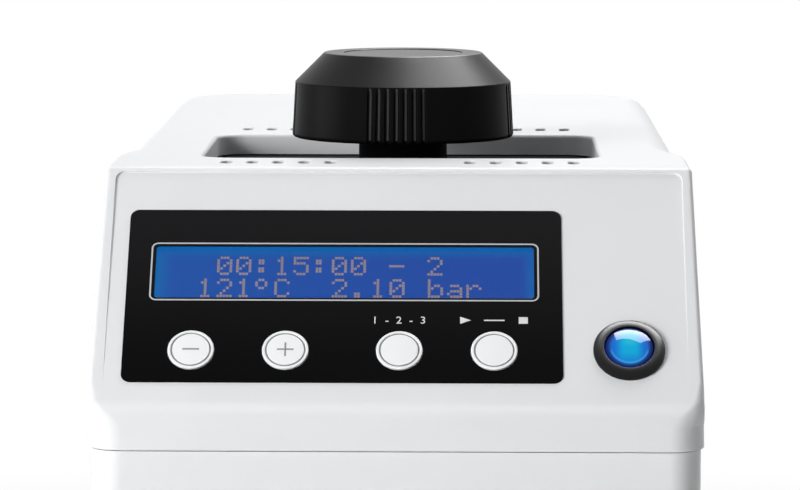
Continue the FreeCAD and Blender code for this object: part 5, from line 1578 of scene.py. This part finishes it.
    def make_key(self, name: str, x: float) -> Piece:
        """A key cap turned from its profile: slightly crowned, with a ring groove and a flange.

        Args:
            name: the key's name.
            x: its place across.

        Returns:
            The piece.
        """
        top, floor = self.key_proud, self.key_proud - self.groove_depth
        near, far = self.groove - self.groove_width / 2, self.groove + self.groove_width / 2
        radius = np.linspace(0, near, 8)
        face = np.stack([radius, top + self.key_crown * (1 - (radius / self.groove) ** 2)], 1)
        rest = rounded_path([(near, top), (near, floor), (far, floor), (far, top), (self.key_radius, top),
                             (self.key_radius, self.flange_high), (self.flange_radius, self.flange_high),
                             (self.flange_radius, self.flange_low), (0, self.flange_low)],
                            [0.06, 0.06, 0.08, self.key_edge, 0, 0.15, 0.15], 5)
        profile = np.concatenate([face, rest[1:]])
        return Shape(self.place.at(x, KEY_LINE)).lathe(profile, 64).build(f"cap_{name}")

    def make_sign(self, name: str, x: float) -> Piece:
        """The grey on a key: painted shade on the floor of its ring groove, and a printed bar or cross.

        Args:
            name: the key's name.
            x: its place across.

        Returns:
            The piece.
        """
        wide, long = self.sign_width / 2, self.sign_half
        bars = {"minus": [(long, wide)], "plus": [(long, wide), (wide, long)]}.get(name, [])
        high = self.key_proud + self.key_crown + 0.02
        half = self.groove_width / 2 - 0.03
        floor = self.key_proud - self.groove_depth
        shape = Shape(self.place.at(x, KEY_LINE))
        # painted shade: a grey ring laid on the floor of the key's ring groove
        shape.frame(circle(0, 0, self.groove + half), circle(0, 0, self.groove - half),
                    floor - 0.1, floor + 0.08)
        for a, b in bars:
            shape.slab(round_rect(-a, a, -b, b, wide * 0.6, 3), high - 0.2, high)
        return shape.build(f"sign_{name}")


@dataclass
class LampButton(SubAssembly):
    """The blue push button beside the foil, in panel millimetres."""

    housing: Housing
    bezel_radius: float = 11.1
    bezel_height: float = 2.2
    bezel_round: float = 3.9
    bezel_skirt: float = 0.25
    brow_start: float = 0.4
    brow_turn: Span = (-3.0, 44.0)
    barrel_radius: float = 8.7
    barrel_length: float = 16.0
    lens_radius: float = 7.5
    lens_gap: float = 0.3
    lens_rim: float = 1.8
    lens_dome: float = 2.4
    lens_length: float = 10.0
    lens_wall: float = 1.4

    @property
    def place(self) -> Place:
        """The panel's frame, at the button."""
        return self.housing.panel().at(*BUTTON)

    def build(self) -> None:
        """Build the ring and the domed cap."""
        shop = self.shop
        shop.fit(self.make_ring(), "housing", Slot.TRIM, "button_bezel", finish="ring")
        shop.fit(self.make_dome(), "button", Slot.LENS, "button_lens",
                 material=LampCap(self.place).make("lens_lit"))

    def make_ring(self) -> Piece:
        """The ring, turned from its profile: an arched brow, its skirt and the barrel below.

        The brow's points are (crest + r sin t, height - r (1 - cos t)).

        Returns:
            The piece.
        """
        bore, height, bow = self.lens_radius + self.lens_gap, self.bezel_height, self.bezel_round
        swell = np.radians(np.linspace(*self.brow_turn, 16))
        brow = np.stack([bore + self.brow_start + bow * np.sin(swell),
                         height - bow * (1 - np.cos(swell))], 1)
        inner = rounded_path([(bore, -self.barrel_length), (bore, brow[0, 1]), brow[0]], [0.03], 3)
        outer = rounded_path([brow[-1], (self.bezel_radius, brow[-1, 1] - self.bezel_skirt),
                              (self.bezel_radius, 0.0), (self.barrel_radius, 0.0),
                              (self.barrel_radius, -self.barrel_length), (bore, -self.barrel_length)],
                             [0.2, 0.05, 0.0, 0.2], 5)
        return Shape(self.place).lathe(np.concatenate([inner, brow[1:-1], outer])).build("button_ring")

    def make_dome(self) -> Piece:
        """The cap, turned from its profile: a part of a sphere on a hollow sleeve.

        Returns:
            The piece.
        """
        sphere = (self.lens_radius ** 2 + self.lens_dome ** 2) / (2 * self.lens_dome)
        radius = self.lens_radius * 0.985 * np.linspace(0, 1, 16)
        crest = self.lens_rim + self.lens_dome - sphere
        dome = np.stack([radius, crest + np.sqrt(sphere ** 2 - radius ** 2)], 1)
        inner = self.lens_radius - self.lens_wall
        rest = rounded_path([dome[-1], (self.lens_radius, self.lens_rim - 0.1),
                             (self.lens_radius, -self.lens_length), (inner, -self.lens_length),
                             (inner, 0.0), (0.0, 0.0)], [0.1, 0.2, 0.2, 0.4], 5)
        return Shape(self.place).lathe(np.concatenate([dome, rest[1:]])).build("button_dome")


# ---- knob and lid

@dataclass
class Handle(SubAssembly):
    """The knob with its cap, in millimetres about the lid's axis."""

    housing: Housing
    radius: float = 37.5
    shoulder_radius: float = 36.4
    top_radius: float = 26.6
    shoulder_rise: float = 18.7
    rise: float = 28.5
    bottom_edge: float = 1.2
    shoulder_edge: float = 0.7
    top_edge: float = 0.8
    wall: float = 3.0
    roof: float = 9.0
    hub: float = 15.4
    hub_wall: float = 2.2
    bore_depth: float = 10.0
    cap_radius: float = 20.0
    cap_seat: float = 2.3
    cap_sink: float = 0.3
    cap_gap: float = 0.05
    groove_count: int = 7
    groups: int = 4
    pitch: float = 4.7
    groove_radius: float = 0.9
    groove_depth: float = 0.75
    turn: float = -2.5
    groove_fade: float = 1.6

    @property
    def place(self) -> Place:
        """A frame on the lid's axis, at the knob's underside."""
        return upright(0.0, self.housing.recess_y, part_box("knob")[0].z / MM)

    def build(self) -> None:
        """Build the drum and its cap."""
        shop = self.shop
        drum = shop.fit(self.make_drum(), "knob", Slot.BLACK, "knob", finish="knob_side")
        # painted light: the cone and the top take lit copies of the side's black
        for name in ("knob_cone_lit", "knob_top_lit", "knob_groove_lit"):
            drum.data.materials.append(shop.special[name])
        drum.data.polygons.foreach_set("material_index", self.zones(drum))
        top, seat = self.rise - self.cap_sink, self.rise - self.cap_seat
        cap = rounded_path([(0.0, top), (self.cap_radius, top), (self.cap_radius, seat), (0.0, seat)],
                           [0.4, 0.1], 5)
        ring = np.linspace(0, 1, 6)[:-1, None] * np.array([[self.cap_radius - 0.4, 0.0]]) + cap[:1]
        piece = Shape(self.place).lathe(np.concatenate([ring, cap[1:]])).build("knob_disc")
        # painted light: the cap takes the top's lit copy of the knob's black
        shop.fit(piece, "knob", Slot.BLACK, "knob_cap", finish="knob_top_lit")

    def zones(self, drum: Piece) -> Array:
        """Finish number of each face: side, cone, top or the floor of a groove.

        Args:
            drum: the turned piece.

        Returns:
            One number per face.
        """
        middle = np.empty(len(drum.data.polygons) * 3)
        drum.data.polygons.foreach_get("center", middle)
        x, y, z = (middle.reshape(-1, 3) / MM - self.place.origin).T
        zone = (z > self.shoulder_rise).astype(np.int32) + (z > self.rise - 0.35)
        # painted highlight: these groove floors get the paler grey
        floor = self.cut(np.arctan2(y, x)) > self.groove_depth * 0.93
        outside = np.hypot(x, y) > self.shoulder_radius - 1.0
        sunk = floor & outside & (z > self.bottom_edge) & (z < self.shoulder_rise - 1.0)
        return np.where(sunk, 3, zone).astype(np.int32)

    def cut(self, turn: Array) -> Array:
        """Depth of the grooves' half-round cut: d sqrt(1 - (s / r)^2), with s along the side.

        Args:
            turn: angles about the axis.

        Returns:
            One depth per angle.
        """
        span, pitch = math.tau / self.groups, math.radians(self.pitch)
        folded = (turn - math.radians(self.turn) + span / 2) % span - span / 2
        near = np.clip(np.round(folded / pitch), -(self.groove_count // 2), self.groove_count // 2)
        arc = (folded - near * pitch) * self.radius
        return self.groove_depth * np.sqrt(np.clip(1 - (arc / self.groove_radius) ** 2, 0, 1))

    def angles(self) -> Array:
        """Angles round the drum, close together where the grooves are.

        Returns:
            The angles in radians.
        """
        half = (self.groove_count / 2 + 0.2) * self.pitch
        span = 360 / self.groups
        one = np.concatenate([np.arange(-half, half, 0.36), np.linspace(half, span - half, 26)[:-1]])
        return np.radians(np.concatenate([one + group * span + self.turn for group in range(self.groups)]))

    def make_drum(self) -> Piece:
        """The drum: its profile turned about the axis, less a half-round cut at each groove.

        The cut fades out below the shoulder.

        Returns:
            The piece.
        """
        hollow, seat = self.rise - self.roof - self.wall, self.rise - self.cap_seat
        cap, shoulder, inner = self.cap_radius + self.cap_gap, self.shoulder_radius, self.hub + self.hub_wall
        lean, rise, tube = 0.12, self.shoulder_rise, self.shoulder_radius - self.wall
        top = rounded_path([(0.0, seat), (cap, seat), (cap, self.rise), (self.top_radius, self.rise),
                            (shoulder, rise)], [0.1, 0.25, self.top_edge], 6)[:-1]
        slant = np.linspace(top[-1], (shoulder, rise), 6)[1:-1]
        corner = rounded_path([slant[-1], (shoulder, rise), (shoulder + lean, rise - 2)],
                              [self.shoulder_edge], 6)[1:]
        side = np.linspace(corner[-1], (self.radius - 0.13, self.bottom_edge + 0.4), 22)[1:]
        bottom = rounded_path([side[-1], (self.radius, 0.0), (tube, 0.0), (tube, hollow),
                               (inner, hollow), (inner, 0.0), (self.hub, 0.0), (self.hub, self.bore_depth),
                               (0.0, self.bore_depth)],
                              [self.bottom_edge, 0.5, 1.0, 1.0, 0.4, 0.4, 0.4], 6)[1:]
        profile = np.concatenate([top, slant, corner, side, bottom])
        turn = self.angles()
        height = profile[:, 1:2]
        outside = (profile[:, :1] > shoulder - 0.4) & (height < rise + 0.2)
        fade = np.clip((rise - 0.4 - height) / self.groove_fade, 0, 1)
        radius = profile[:, :1] - np.where(outside, self.cut(turn)[None] * np.sqrt(fade), 0)
        rings = np.stack([radius * np.cos(turn), radius * np.sin(turn), np.repeat(height, len(turn), 1)], -1)
        return Shape(self.place).grid(rings, closed=True).build("knob_drum", sharp=40.0)


# ---- recess and lid

@dataclass
class Lid(SubAssembly):
    """The recess's black lining, the plate that fills it and the collar under the knob, in millimetres."""

    housing: Housing
    lining_wall: float = 1.8
    lining_gap: float = 0.05
    lining_edge: float = 0.35
    plate_inset: float = 2.2
    plate_edge: float = 0.9
    bore: float = 8.6
    collar_radius: float = 14.9
    collar_edge: float = 0.4
    foot_radius: float = 16.4
    foot_height: float = 1.6
    foot_edge: float = 0.5

    def recess(self, inset: float) -> Outline:
        """The recess's outline, moved inwards.

        Args:
            inset: how far.

        Returns:
            The outline.
        """
        house = self.housing
        x, y, reach = house.recess_half_x - inset, house.recess_y, house.recess_half_y - inset
        return round_rect(-x, x, y - reach, y + reach, house.recess_corner - inset, 12)

    def build(self) -> None:
        """Build the lining, the plate and the collar."""
        shop = self.shop
        low, high = (corner.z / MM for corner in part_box("recess_liner"))
        lining = Shape().frame(self.recess(self.lining_gap), self.recess(self.lining_wall), low, high,
                               self.lining_edge)
        shop.fit(lining.build("recess_lining"), "housing", Slot.BLACK, "recess_liner", finish="lid")
        shop.fit(self.make_plate(), "lid", Slot.BLACK, "lid_cover", finish="lid")
        shop.fit(self.make_collar(), "lid", Slot.BLACK, "lid_collar", finish="lid")

    def make_plate(self) -> Piece:
        """The plate: its outline with a rounded upper rim, and a bore for the bush.

        Returns:
            The piece.
        """
        low, high = (corner.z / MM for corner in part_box("lid_cover"))
        outer = self.recess(self.plate_inset)
        rounds = edge_steps(self.plate_edge, 5)
        loops = [at_height(outer.points, low)]
        loops += [at_height(outer.grown(-inset), high - drop) for inset, drop in rounds]
        hole = circle(0.0, self.housing.recess_y, self.bore, 64).points
        bores = [at_height(hole, z) for z in (low, high)]
        shape = Shape().grid(np.stack(loops), closed=True).grid(np.stack(bores), closed=True)
        shape.region([loops[-1], bores[-1]]).region([loops[0], bores[0]])
        return shape.build("lid_panel")

    def make_collar(self) -> Piece:
        """The collar, turned from its profile: a foot, a straight neck and a bore.

        Returns:
            The piece.
        """
        low, high = (corner.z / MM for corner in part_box("lid_collar"))
        rise = high - low
        foot, neck = self.foot_radius, self.collar_radius
        profile = rounded_path([(self.bore, 0.0), (foot, 0.0), (foot, self.foot_height),
                                (neck, self.foot_height), (neck, rise), (self.bore, rise), (self.bore, 0.0)],
                               [0.1, self.foot_edge, 0.3, self.collar_edge, 0.2], 5)
        return Shape(upright(0.0, self.housing.recess_y, low)).lathe(profile, 80).build("lid_neck")


# ---- rear fittings and feet

@dataclass
class Rear(SubAssembly):
    """Fan guard, fan wheel, hose couplings and switch marks on the back, in millimetres."""

    fan: Span = (26.0, 100.0)
    rings: tuple[float, ...] = (7.75, 13.75, 19.75, 25.75)
    wire: Span = (0.7, 0.45)
    arm_lap: float = 0.4
    arm_drop: float = 0.35
    arm_reach: float = 35.36
    arm_width: float = 0.95
    ear_radius: float = 4.0
    ear_hole: float = 1.35
    wheel_radius: float = 26.0
    hub_radius: float = 11.0
    wheel_foot: float = 2.5
    wheel_depth: float = 10.0
    shaft_radius: float = 1.5
    blades: int = 7
    blade_span: float = 34.0
    blade_sweep: float = 14.0
    blade_rise: float = 3.6
    blade_camber: float = 1.1
    blade_half: float = 0.45
    couplings: Span = (-14.0, -44.0)
    coupling_height: float = 112.0
    tube_radius: float = 4.0
    tube_bore: float = 2.5
    barb_start: float = 1.2
    barb_pitch: float = 3.0
    barb_depth: float = 0.7
    nut_radius: float = 8.0
    nut_height: float = 3.0
    rocker: Point = (-38.0, 198.0, 75.0)
    rocker_face: float = 2.0
    rocker_valley: float = 8.0
    rocker_tilt: float = 7.0
    mark_rise: float = 3.3
    mark_half: float = 1.5
    mark_line: float = 0.28

    def build(self) -> None:
        """Build each fitting and fit it."""
        shop = self.shop
        shop.fit(self.make_guard(), "housing", Slot.BRIGHT, "fan_guard")
        shop.fit(self.make_wheel(), "fan", Slot.PART, "fan_rotor")
        shop.fit(self.make_couplings(), "housing", Slot.BRASS, "hose_couplings")
        shop.fit(self.make_marks(), "rocker", Slot.TRIM, finish="print_light")

    def make_guard(self) -> Piece:
        """The guard: four round wires, four flattened arms and four drilled ears.

        A ring's point is ((R + a cos s) cos t, (R + a cos s) sin t, b sin s).

        Returns:
            The piece.
        """
        low, high = (corner.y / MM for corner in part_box("fan_guard"))
        shape = Shape(rearward(self.fan[0], low, self.fan[1]))
        wide, deep = self.wire
        back = high - low
        around = np.arange(72)[None] * TAU / 72
        section = np.append(np.arange(10) * TAU / 10, 0.0)[:, None]
        level = back - deep - 0.02 + deep * np.sin(section)
        for radius in self.rings:
            reach = radius + wide * np.cos(section)
            shape.grid(np.stack([reach * np.cos(around), reach * np.sin(around), level + 0 * around], -1),
                       closed=True)
        for quarter in range(4):
            angle = math.pi / 4 + quarter * math.pi / 2
            along = np.array([math.cos(angle), math.sin(angle)])
            side = np.array([-along[1], along[0]])
            near = along * (self.rings[0] - self.arm_lap)
            far = along * (self.arm_reach - self.ear_radius + self.arm_lap)
            half = side * self.arm_width
            arm = Outline(np.array([near - half, far - half, far + half, near + half]),
                          np.array([-along - side, along - side, along + side, -along + side]))
            shape.slab(arm, 0.05, back - self.arm_drop, 0.15, 0.2)
            middle = along * self.arm_reach
            ear, hole = (circle(*middle, radius, 40) for radius in (self.ear_radius, self.ear_hole))
            shape.frame(ear, hole, 0.0, back, 0.3)
        return shape.build("guard_wires")

    def make_wheel(self) -> Piece:
        """The wheel: a rounded hub, its shaft and seven cambered blades.

        A blade's point at radius r and chord share s from -1 to 1 stands at the angle
        start + sweep (r - hub) / (tip - hub) + s span / 2, at the height rise s + camber (1 - s^2).

        Returns:
            The piece.
        """
        shape = Shape(rearward(self.fan[0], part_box("fan_rotor")[0].y / MM, self.fan[1]))
        foot, top = self.wheel_foot, self.wheel_foot + self.wheel_depth
        hub = rounded_path([(0.0, 0.0), (self.shaft_radius, 0.0), (self.shaft_radius, foot),
                            (self.hub_radius, foot), (self.hub_radius, top), (0.0, top)],
                           [0.3, 0.2, 0.4, 1.6], 6)
        shape.lathe(hub, 64)
        radius = np.linspace(self.hub_radius - 0.8, self.wheel_radius, 9)[:, None]
        chord = np.linspace(-1, 1, 11)[None, :]
        share = (radius - self.hub_radius) / (self.wheel_radius - self.hub_radius)
        camber = self.blade_camber * (0.5 - chord ** 2)
        rise = (foot + top) / 2 + self.blade_rise * chord + camber
        thick = self.blade_half * np.sqrt(np.clip(1 - np.abs(chord) ** 3, 0.06, 1))
        for blade in range(self.blades):
            swing = np.radians(self.blade_sweep * share + self.blade_span / 2 * chord)
            turn = blade * TAU / self.blades + swing
            flat = [radius * np.cos(turn), radius * np.sin(turn)]
            upper, lower = (np.stack([*flat, rise + way * thick + 0 * turn], -1) for way in (1, -1))
            shape.loft(list(np.concatenate([upper, lower[:, ::-1]], 1)))
        return shape.build("fan_wheel")

    def make_couplings(self) -> Piece:
        """The couplings: a turned tail with barbs, a hexagon outside the panel and a washer inside.

        Returns:
            The piece.
        """
        inner, outer = (corner.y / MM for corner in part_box("hose_couplings"))
        inside, outside = (corner.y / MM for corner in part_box("rear_panel"))
        tube, nut = self.tube_radius, self.nut_height
        start = outside + nut + self.barb_start
        count = math.ceil((outer - 0.4 - start) / self.barb_pitch) - 1
        barbs = []
        for spot in start + np.arange(count) * self.barb_pitch:
            barbs += [(tube, spot), (tube - self.barb_depth, spot + self.barb_pitch)]
        end = start + count * self.barb_pitch
        path = np.array([(self.tube_bore, inner), (tube, inner), *barbs, (tube - 0.2, end),
                         (tube - 0.9, outer), (self.tube_bore, outer), (self.tube_bore, inner)])
        turn = np.arange(6) * TAU / 6
        ways = np.stack([np.cos(turn), np.sin(turn)], 1)
        shape = Shape()
        for x in self.couplings:
            shape.place = rearward(x, 0.0, self.coupling_height)
            shape.lathe(path, 56)
            shape.slab(Outline(ways * self.nut_radius, ways), outside + 0.02, outside + nut, 0.0, 0.5)
            shape.slab(circle(0, 0, self.nut_radius, 48), inside - nut, inside - 0.02, 0.4, 0.0)
        return shape.build("couplings_turned")

    def make_marks(self) -> Piece:
        """The line and the ring on the rocker's two halves, each lying on its own leaning face.

        Returns:
            The piece.
        """
        x, y, z = self.rocker
        swing = math.radians(-self.rocker_tilt)
        turn = np.array(Matrix.Rotation(swing, 3, "X"))
        lean = math.radians(self.rocker_valley)
        line, half, low, high = self.mark_line, self.mark_half, -0.1, 0.06
        shape = Shape()
        for way in (1, -1):
            down = np.array([0, -math.sin(lean), way * math.cos(lean)])
            out = np.array([0, math.cos(lean), way * math.sin(lean)])
            spot = np.array([x, y, z]) + turn @ (np.array([0, self.rocker_face, 0]) + down * self.mark_rise)
            shape.place = Place(spot, np.array([-1.0, 0, 0]), turn @ (down * way), turn @ out)
            if way > 0:
                shape.slab(round_rect(-line, line, -half, half, 0.1, 3), low, high)
            else:
                shape.frame(circle(0, 0, half, 32), circle(0, 0, half - 2 * line, 32), low, high)
        return shape.build("rocker_marks")


@dataclass
class Feet(SubAssembly):
    """Four turned rubber feet with ribbed soles, in millimetres."""

    side: float = 72.0
    front: float = -176.0
    rear: float = 138.0
    radius: float = 10.0
    waist: float = 8.9
    flare: float = 0.3
    well: float = 4.4
    hole: float = 2.2
    height: float = 8.0
    well_depth: float = 3.0
    rim: float = 1.8
    shoulder: float = 3.2
    rib: float = 0.5
    rib_start: float = 1.2
    rib_pitch: float = 0.8

    def build(self) -> None:
        """Turn the four feet from one profile."""
        ribs = [(self.radius - self.rib_start - k * self.rib_pitch, self.rib * (k % 2)) for k in range(5)]
        profile = rounded_path([(self.hole, self.height), (self.hole, self.well_depth),
                                (self.well, self.well_depth), (self.well, 0.0), *reversed(ribs),
                                (self.radius, 0.0), (self.radius, self.rim), (self.waist, self.shoulder),
                                (self.waist + self.flare, self.height), (self.hole, self.height)],
                               [0.1, 0.2, 0.3, *[0.12] * 5, 0.5, 0.5, 0.8, 0.4], 4)
        shape = Shape()
        for x in (-self.side, self.side):
            for y in (self.front, self.rear):
                shape.place = upright(x, y, 0.0)
                shape.lathe(profile, 48)
        self.shop.fit(shape.build("feet_turned"), "housing", Slot.RUBBER, "rubber_feet")


# ---- pieces with eased corners

@dataclass(frozen=True)
class Eased:
    """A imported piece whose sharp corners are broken, as a deburred or moulded part's are."""

    node: str
    slot: Slot
    width: float
    body: str = "housing"
    angle: float = 35.0
    flat: float = 0.3
    filled: bool = False

    def make(self) -> Piece:
        """Copy the node's mesh, join its triangles into flat faces and break its corners.

        Returns:
            The new object.
        """
        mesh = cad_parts[self.node].data.copy()
        mesh.name = f"{self.node}_eased"
        work = bmesh.new()
        work.from_mesh(mesh)
        bmesh.ops.remove_doubles(work, verts=work.verts, dist=WELD)
        if self.filled:
            Housing().fill_corners(work)
        bmesh.ops.dissolve_limit(work, angle_limit=math.radians(self.flat), verts=work.verts,
                                 edges=work.edges)
        work.to_mesh(mesh)
        work.free()
        for name in {"custom_normal", "sharp_edge", "sharp_face"} & set(mesh.attributes.keys()):
            mesh.attributes.remove(mesh.attributes[name])
        mesh.polygons.foreach_set("use_smooth", np.ones(len(mesh.polygons), bool))
        mesh.set_sharp_from_angle(angle=math.radians(self.angle))
        made = new_object(mesh.name, mesh)
        bevel = made.modifiers.new("corners", "BEVEL")
        bevel.width = self.width * MM
        bevel.segments = 2
        bevel.limit_method = "ANGLE"
        bevel.angle_limit = math.radians(self.angle)
        weighted = made.modifiers.new("weighted", "WEIGHTED_NORMAL")
        weighted.keep_sharp = True
        return made


EASED = (
    Eased("lower_housing", Slot.WHITE, 0.5, filled=True),
    Eased("rear_panel", Slot.PANEL, 0.3),
    Eased("base_plate", Slot.ZINC, 0.25, filled=True),
    Eased("mains_module", Slot.PART, 0.3),
    Eased("fuse_drawer", Slot.PART, 0.25, "drawer"),
    Eased("mains_rocker", Slot.TRIM, 0.25, "rocker"),
    Eased("fan_frame", Slot.PART, 0.35),
    Eased("vessel", Slot.STEEL, 0.3),
    Eased("claw_ring", Slot.STEEL, 0.35),
    Eased("chassis", Slot.ZINC, 0.25),
    Eased("lid_plate", Slot.STEEL, 0.3, "lid"),
    Eased("lid_pillars", Slot.STEEL, 0.2, "lid"),
    Eased("lock_bar", Slot.STEEL, 0.5, "knob"),
    Eased("spindle_bush", Slot.BRASS, 0.25, "lid"),
    Eased("basket_rod", Slot.STEEL, 0.2, "lid"),
    Eased("transformer", Slot.CORE, 0.4),
    Eased("feed_pump", Slot.PART, 0.3),
    Eased("water_tank", Slot.TANK, 0.3),
    Eased("valve_bracket", Slot.ZINC, 0.2),
    Eased("tank_float", Slot.KEY, 0.3, "float"),
)


# ---- camera, lights and floor

MIDDLE = (0.0, 0.0, 0.18)
BUTTON_PIECES = ("button_dome", "button_ring")
KNOB_PIECES = ("knob_drum", "knob_disc")


@dataclass(frozen=True)
class Lamp:
    """A rectangular soft lamp; lengths are metres and power is in watts.

    A softbox shows only in glossy surfaces, and any other lamp lights only the matt ones.
    It reaches only the named pieces, or everything but them where they stand apart.
    """

    name: str
    place: Point
    size: Span
    power: float
    aim: Point = MIDDLE
    softbox: bool = False
    pieces: tuple[str, ...] = ()
    apart: bool = False

    def hang(self) -> None:
        """Add the lamp to the scene."""
        data = bpy.data.lights.new(self.name, "AREA")
        data.shape = "RECTANGLE"
        data.size, data.size_y = self.size
        data.energy = self.power
        made = new_object(self.name, data)
        made.visible_glossy = self.softbox
        made.visible_diffuse = not self.softbox
        made.location = self.place
        made.rotation_euler = (Vector(self.aim) - Vector(self.place)).to_track_quat("-Z", "Y").to_euler()
        if self.pieces:
            made.light_linking.receiver_collection = self.group()

    def group(self) -> bpy.types.Collection:
        """The collection of the pieces that the lamp reaches or leaves out.

        Returns:
            The collection.
        """
        group = bpy.data.collections.new(f"{self.name}_pieces")
        for name in self.pieces:
            group.objects.link(bpy.data.objects[name])
        for entry in group.collection_objects:
            entry.light_linking.link_state = "EXCLUDE" if self.apart else "INCLUDE"
        return group


LAMPS = (
    Lamp("overhead", (0.4, 0.62, 1.5), (0.9, 0.9), 13.8),
    Lamp("key", (-1.5, -1.5, 0.6), (0.95, 0.95), 40.0),
    Lamp("strip", (-1.3, 0.1, 0.5), (1.0, 0.7), 2.0),
    Lamp("softbox", (0.3, 0.68, 1.51), (1.5, 1.4), 36.0, softbox=True,
         pieces=BUTTON_PIECES + KNOB_PIECES, apart=True),
    Lamp("front_softbox", (0.0, -1.3, 1.5), (1.4, 0.6), 16.0, softbox=True,
         pieces=BUTTON_PIECES + KNOB_PIECES, apart=True),
    Lamp("button_softbox", (0.28, 0.58, 1.56), (1.7, 1.65), 190.0, (0.07, -0.195, 0.185), True,
         BUTTON_PIECES),
    Lamp("knob_softbox", (0.46, 0.28, 1.55), (1.2, 1.2), 108.0, (0.0, 0.0, 0.26), True, KNOB_PIECES),
    Lamp("knob_strip", (-1.28, -0.17, 0.12), (0.75, 0.75), 7.0, (0.0, 0.0, 0.25), True, KNOB_PIECES),
)


@dataclass(frozen=True)
class Studio:
    """Camera, soft lamps and the pale floor; lengths are metres."""

    focal: float = 187.85
    sensor: float = 36.0
    eye: Point = (0.02123, -1.4739, 0.3569)
    pitch: float = 6.03
    yaw: float = 0.90
    roll: float = 0.08
    clip_end: float = 50.0
    floor_half: float = 6.0
    world: float = 0.13
    paper: tuple[Colour, Colour] = ((0.80, 0.80, 0.80), (0.84, 0.84, 0.84))
    fade: Span = (0.3, 0.8)
    near_share: float = 0.25

    def camera(self) -> None:
        """Make the camera; its long lens looks slightly down at the slope."""
        data = bpy.data.cameras.new("camera")
        data.lens = self.focal
        data.sensor_width = self.sensor
        data.clip_end = self.clip_end
        made = new_object("camera", data)
        pitch, yaw = math.radians(self.pitch), math.radians(self.yaw)
        ahead = Vector((-math.sin(yaw) * math.cos(pitch), math.cos(yaw) * math.cos(pitch), -math.sin(pitch)))
        turn = ahead.to_track_quat("-Z", "Y").to_matrix() @ Matrix.Rotation(math.radians(self.roll), 3, "Z")
        made.matrix_world = Matrix.Translation(self.eye) @ turn.to_4x4()
        bpy.context.scene.camera = made

    def backdrop(self) -> None:
        """Lay the floor and set a world that is white where the camera or a reflection sees it."""
        half, count = self.floor_half / MM, 5
        line = np.linspace(-half, half, count)
        flat = np.stack(np.meshgrid(line, line), -1)
        shape = Shape().grid(np.concatenate([flat, np.zeros((count, count, 1))], -1))
        floor = shape.build("floor", recalculate=False)
        book = NodeBook.named("floor_paper")
        grain = book.noise(book.place(), 60.0, 4.0)
        matt = book.node("BsdfDiffuse", None, {"Color": book.blend(grain, *self.paper)})
        white = book.node("Emission", None, {"Color": (1.0, 1.0, 1.0), "Strength": 1.0})
        share = self.seen_directly(book) * self.far_fade(book)
        mixed = book.node("MixShader", None, {"Fac": share, 1: matt, 2: white})
        floor.data.materials.append(book.finish(mixed))
        sky = NodeBook(bpy.data.worlds.new("studio"), "World")
        plain, bright = (sky.node("Background", None, {"Color": (1.0, 1.0, 1.0), "Strength": power})
                         for power in (self.world, 1.0))
        mixed = sky.node("MixShader", None, {"Fac": self.seen_directly(sky), 1: plain, 2: bright})
        bpy.context.scene.world = sky.finish(mixed)

    @staticmethod
    def seen_directly(book: NodeBook) -> Signal:
        """One on rays from the camera or a mirror, and zero on rays that carry light."""
        camera, glossy, through = (book.node("LightPath", output=f"Is {kind} Ray")
                                   for kind in ("Camera", "Glossy", "Transmission"))
        return camera.most(glossy).most(through)

    def far_fade(self, book: NodeBook) -> Signal:
        """A small share beside the object, where the floor keeps its shadow, rising to one farther out."""
        x, y, _ = book.axes(book.place())
        return self.near_share + ((x * x + y * y) ** 0.5).between(*self.fade) * (1 - self.near_share)


def main() -> None:
    """Build the sub-assemblies in order and fit each to its body."""
    logging.basicConfig(level=logging.INFO, format="%(message)s")
    bpy.context.scene.view_settings.view_transform = "Standard"
    shop = Workshop()
    shop.dress_frame()
    housing = Housing()
    shop.fit(housing.cover(), "housing", Slot.WHITE, "top_cover")
    for group in (ControlPanel(shop, housing), LampButton(shop, housing), Handle(shop, housing),
                  Lid(shop, housing), Rear(shop), Feet(shop)):
        group.build()
    for part in EASED:
        shop.fit(part.make(), part.body, part.slot, part.node)
    for lamp in LAMPS:
        lamp.hang()
    studio = Studio()
    studio.camera()
    studio.backdrop()


if __name__ == "__main__":
    main()
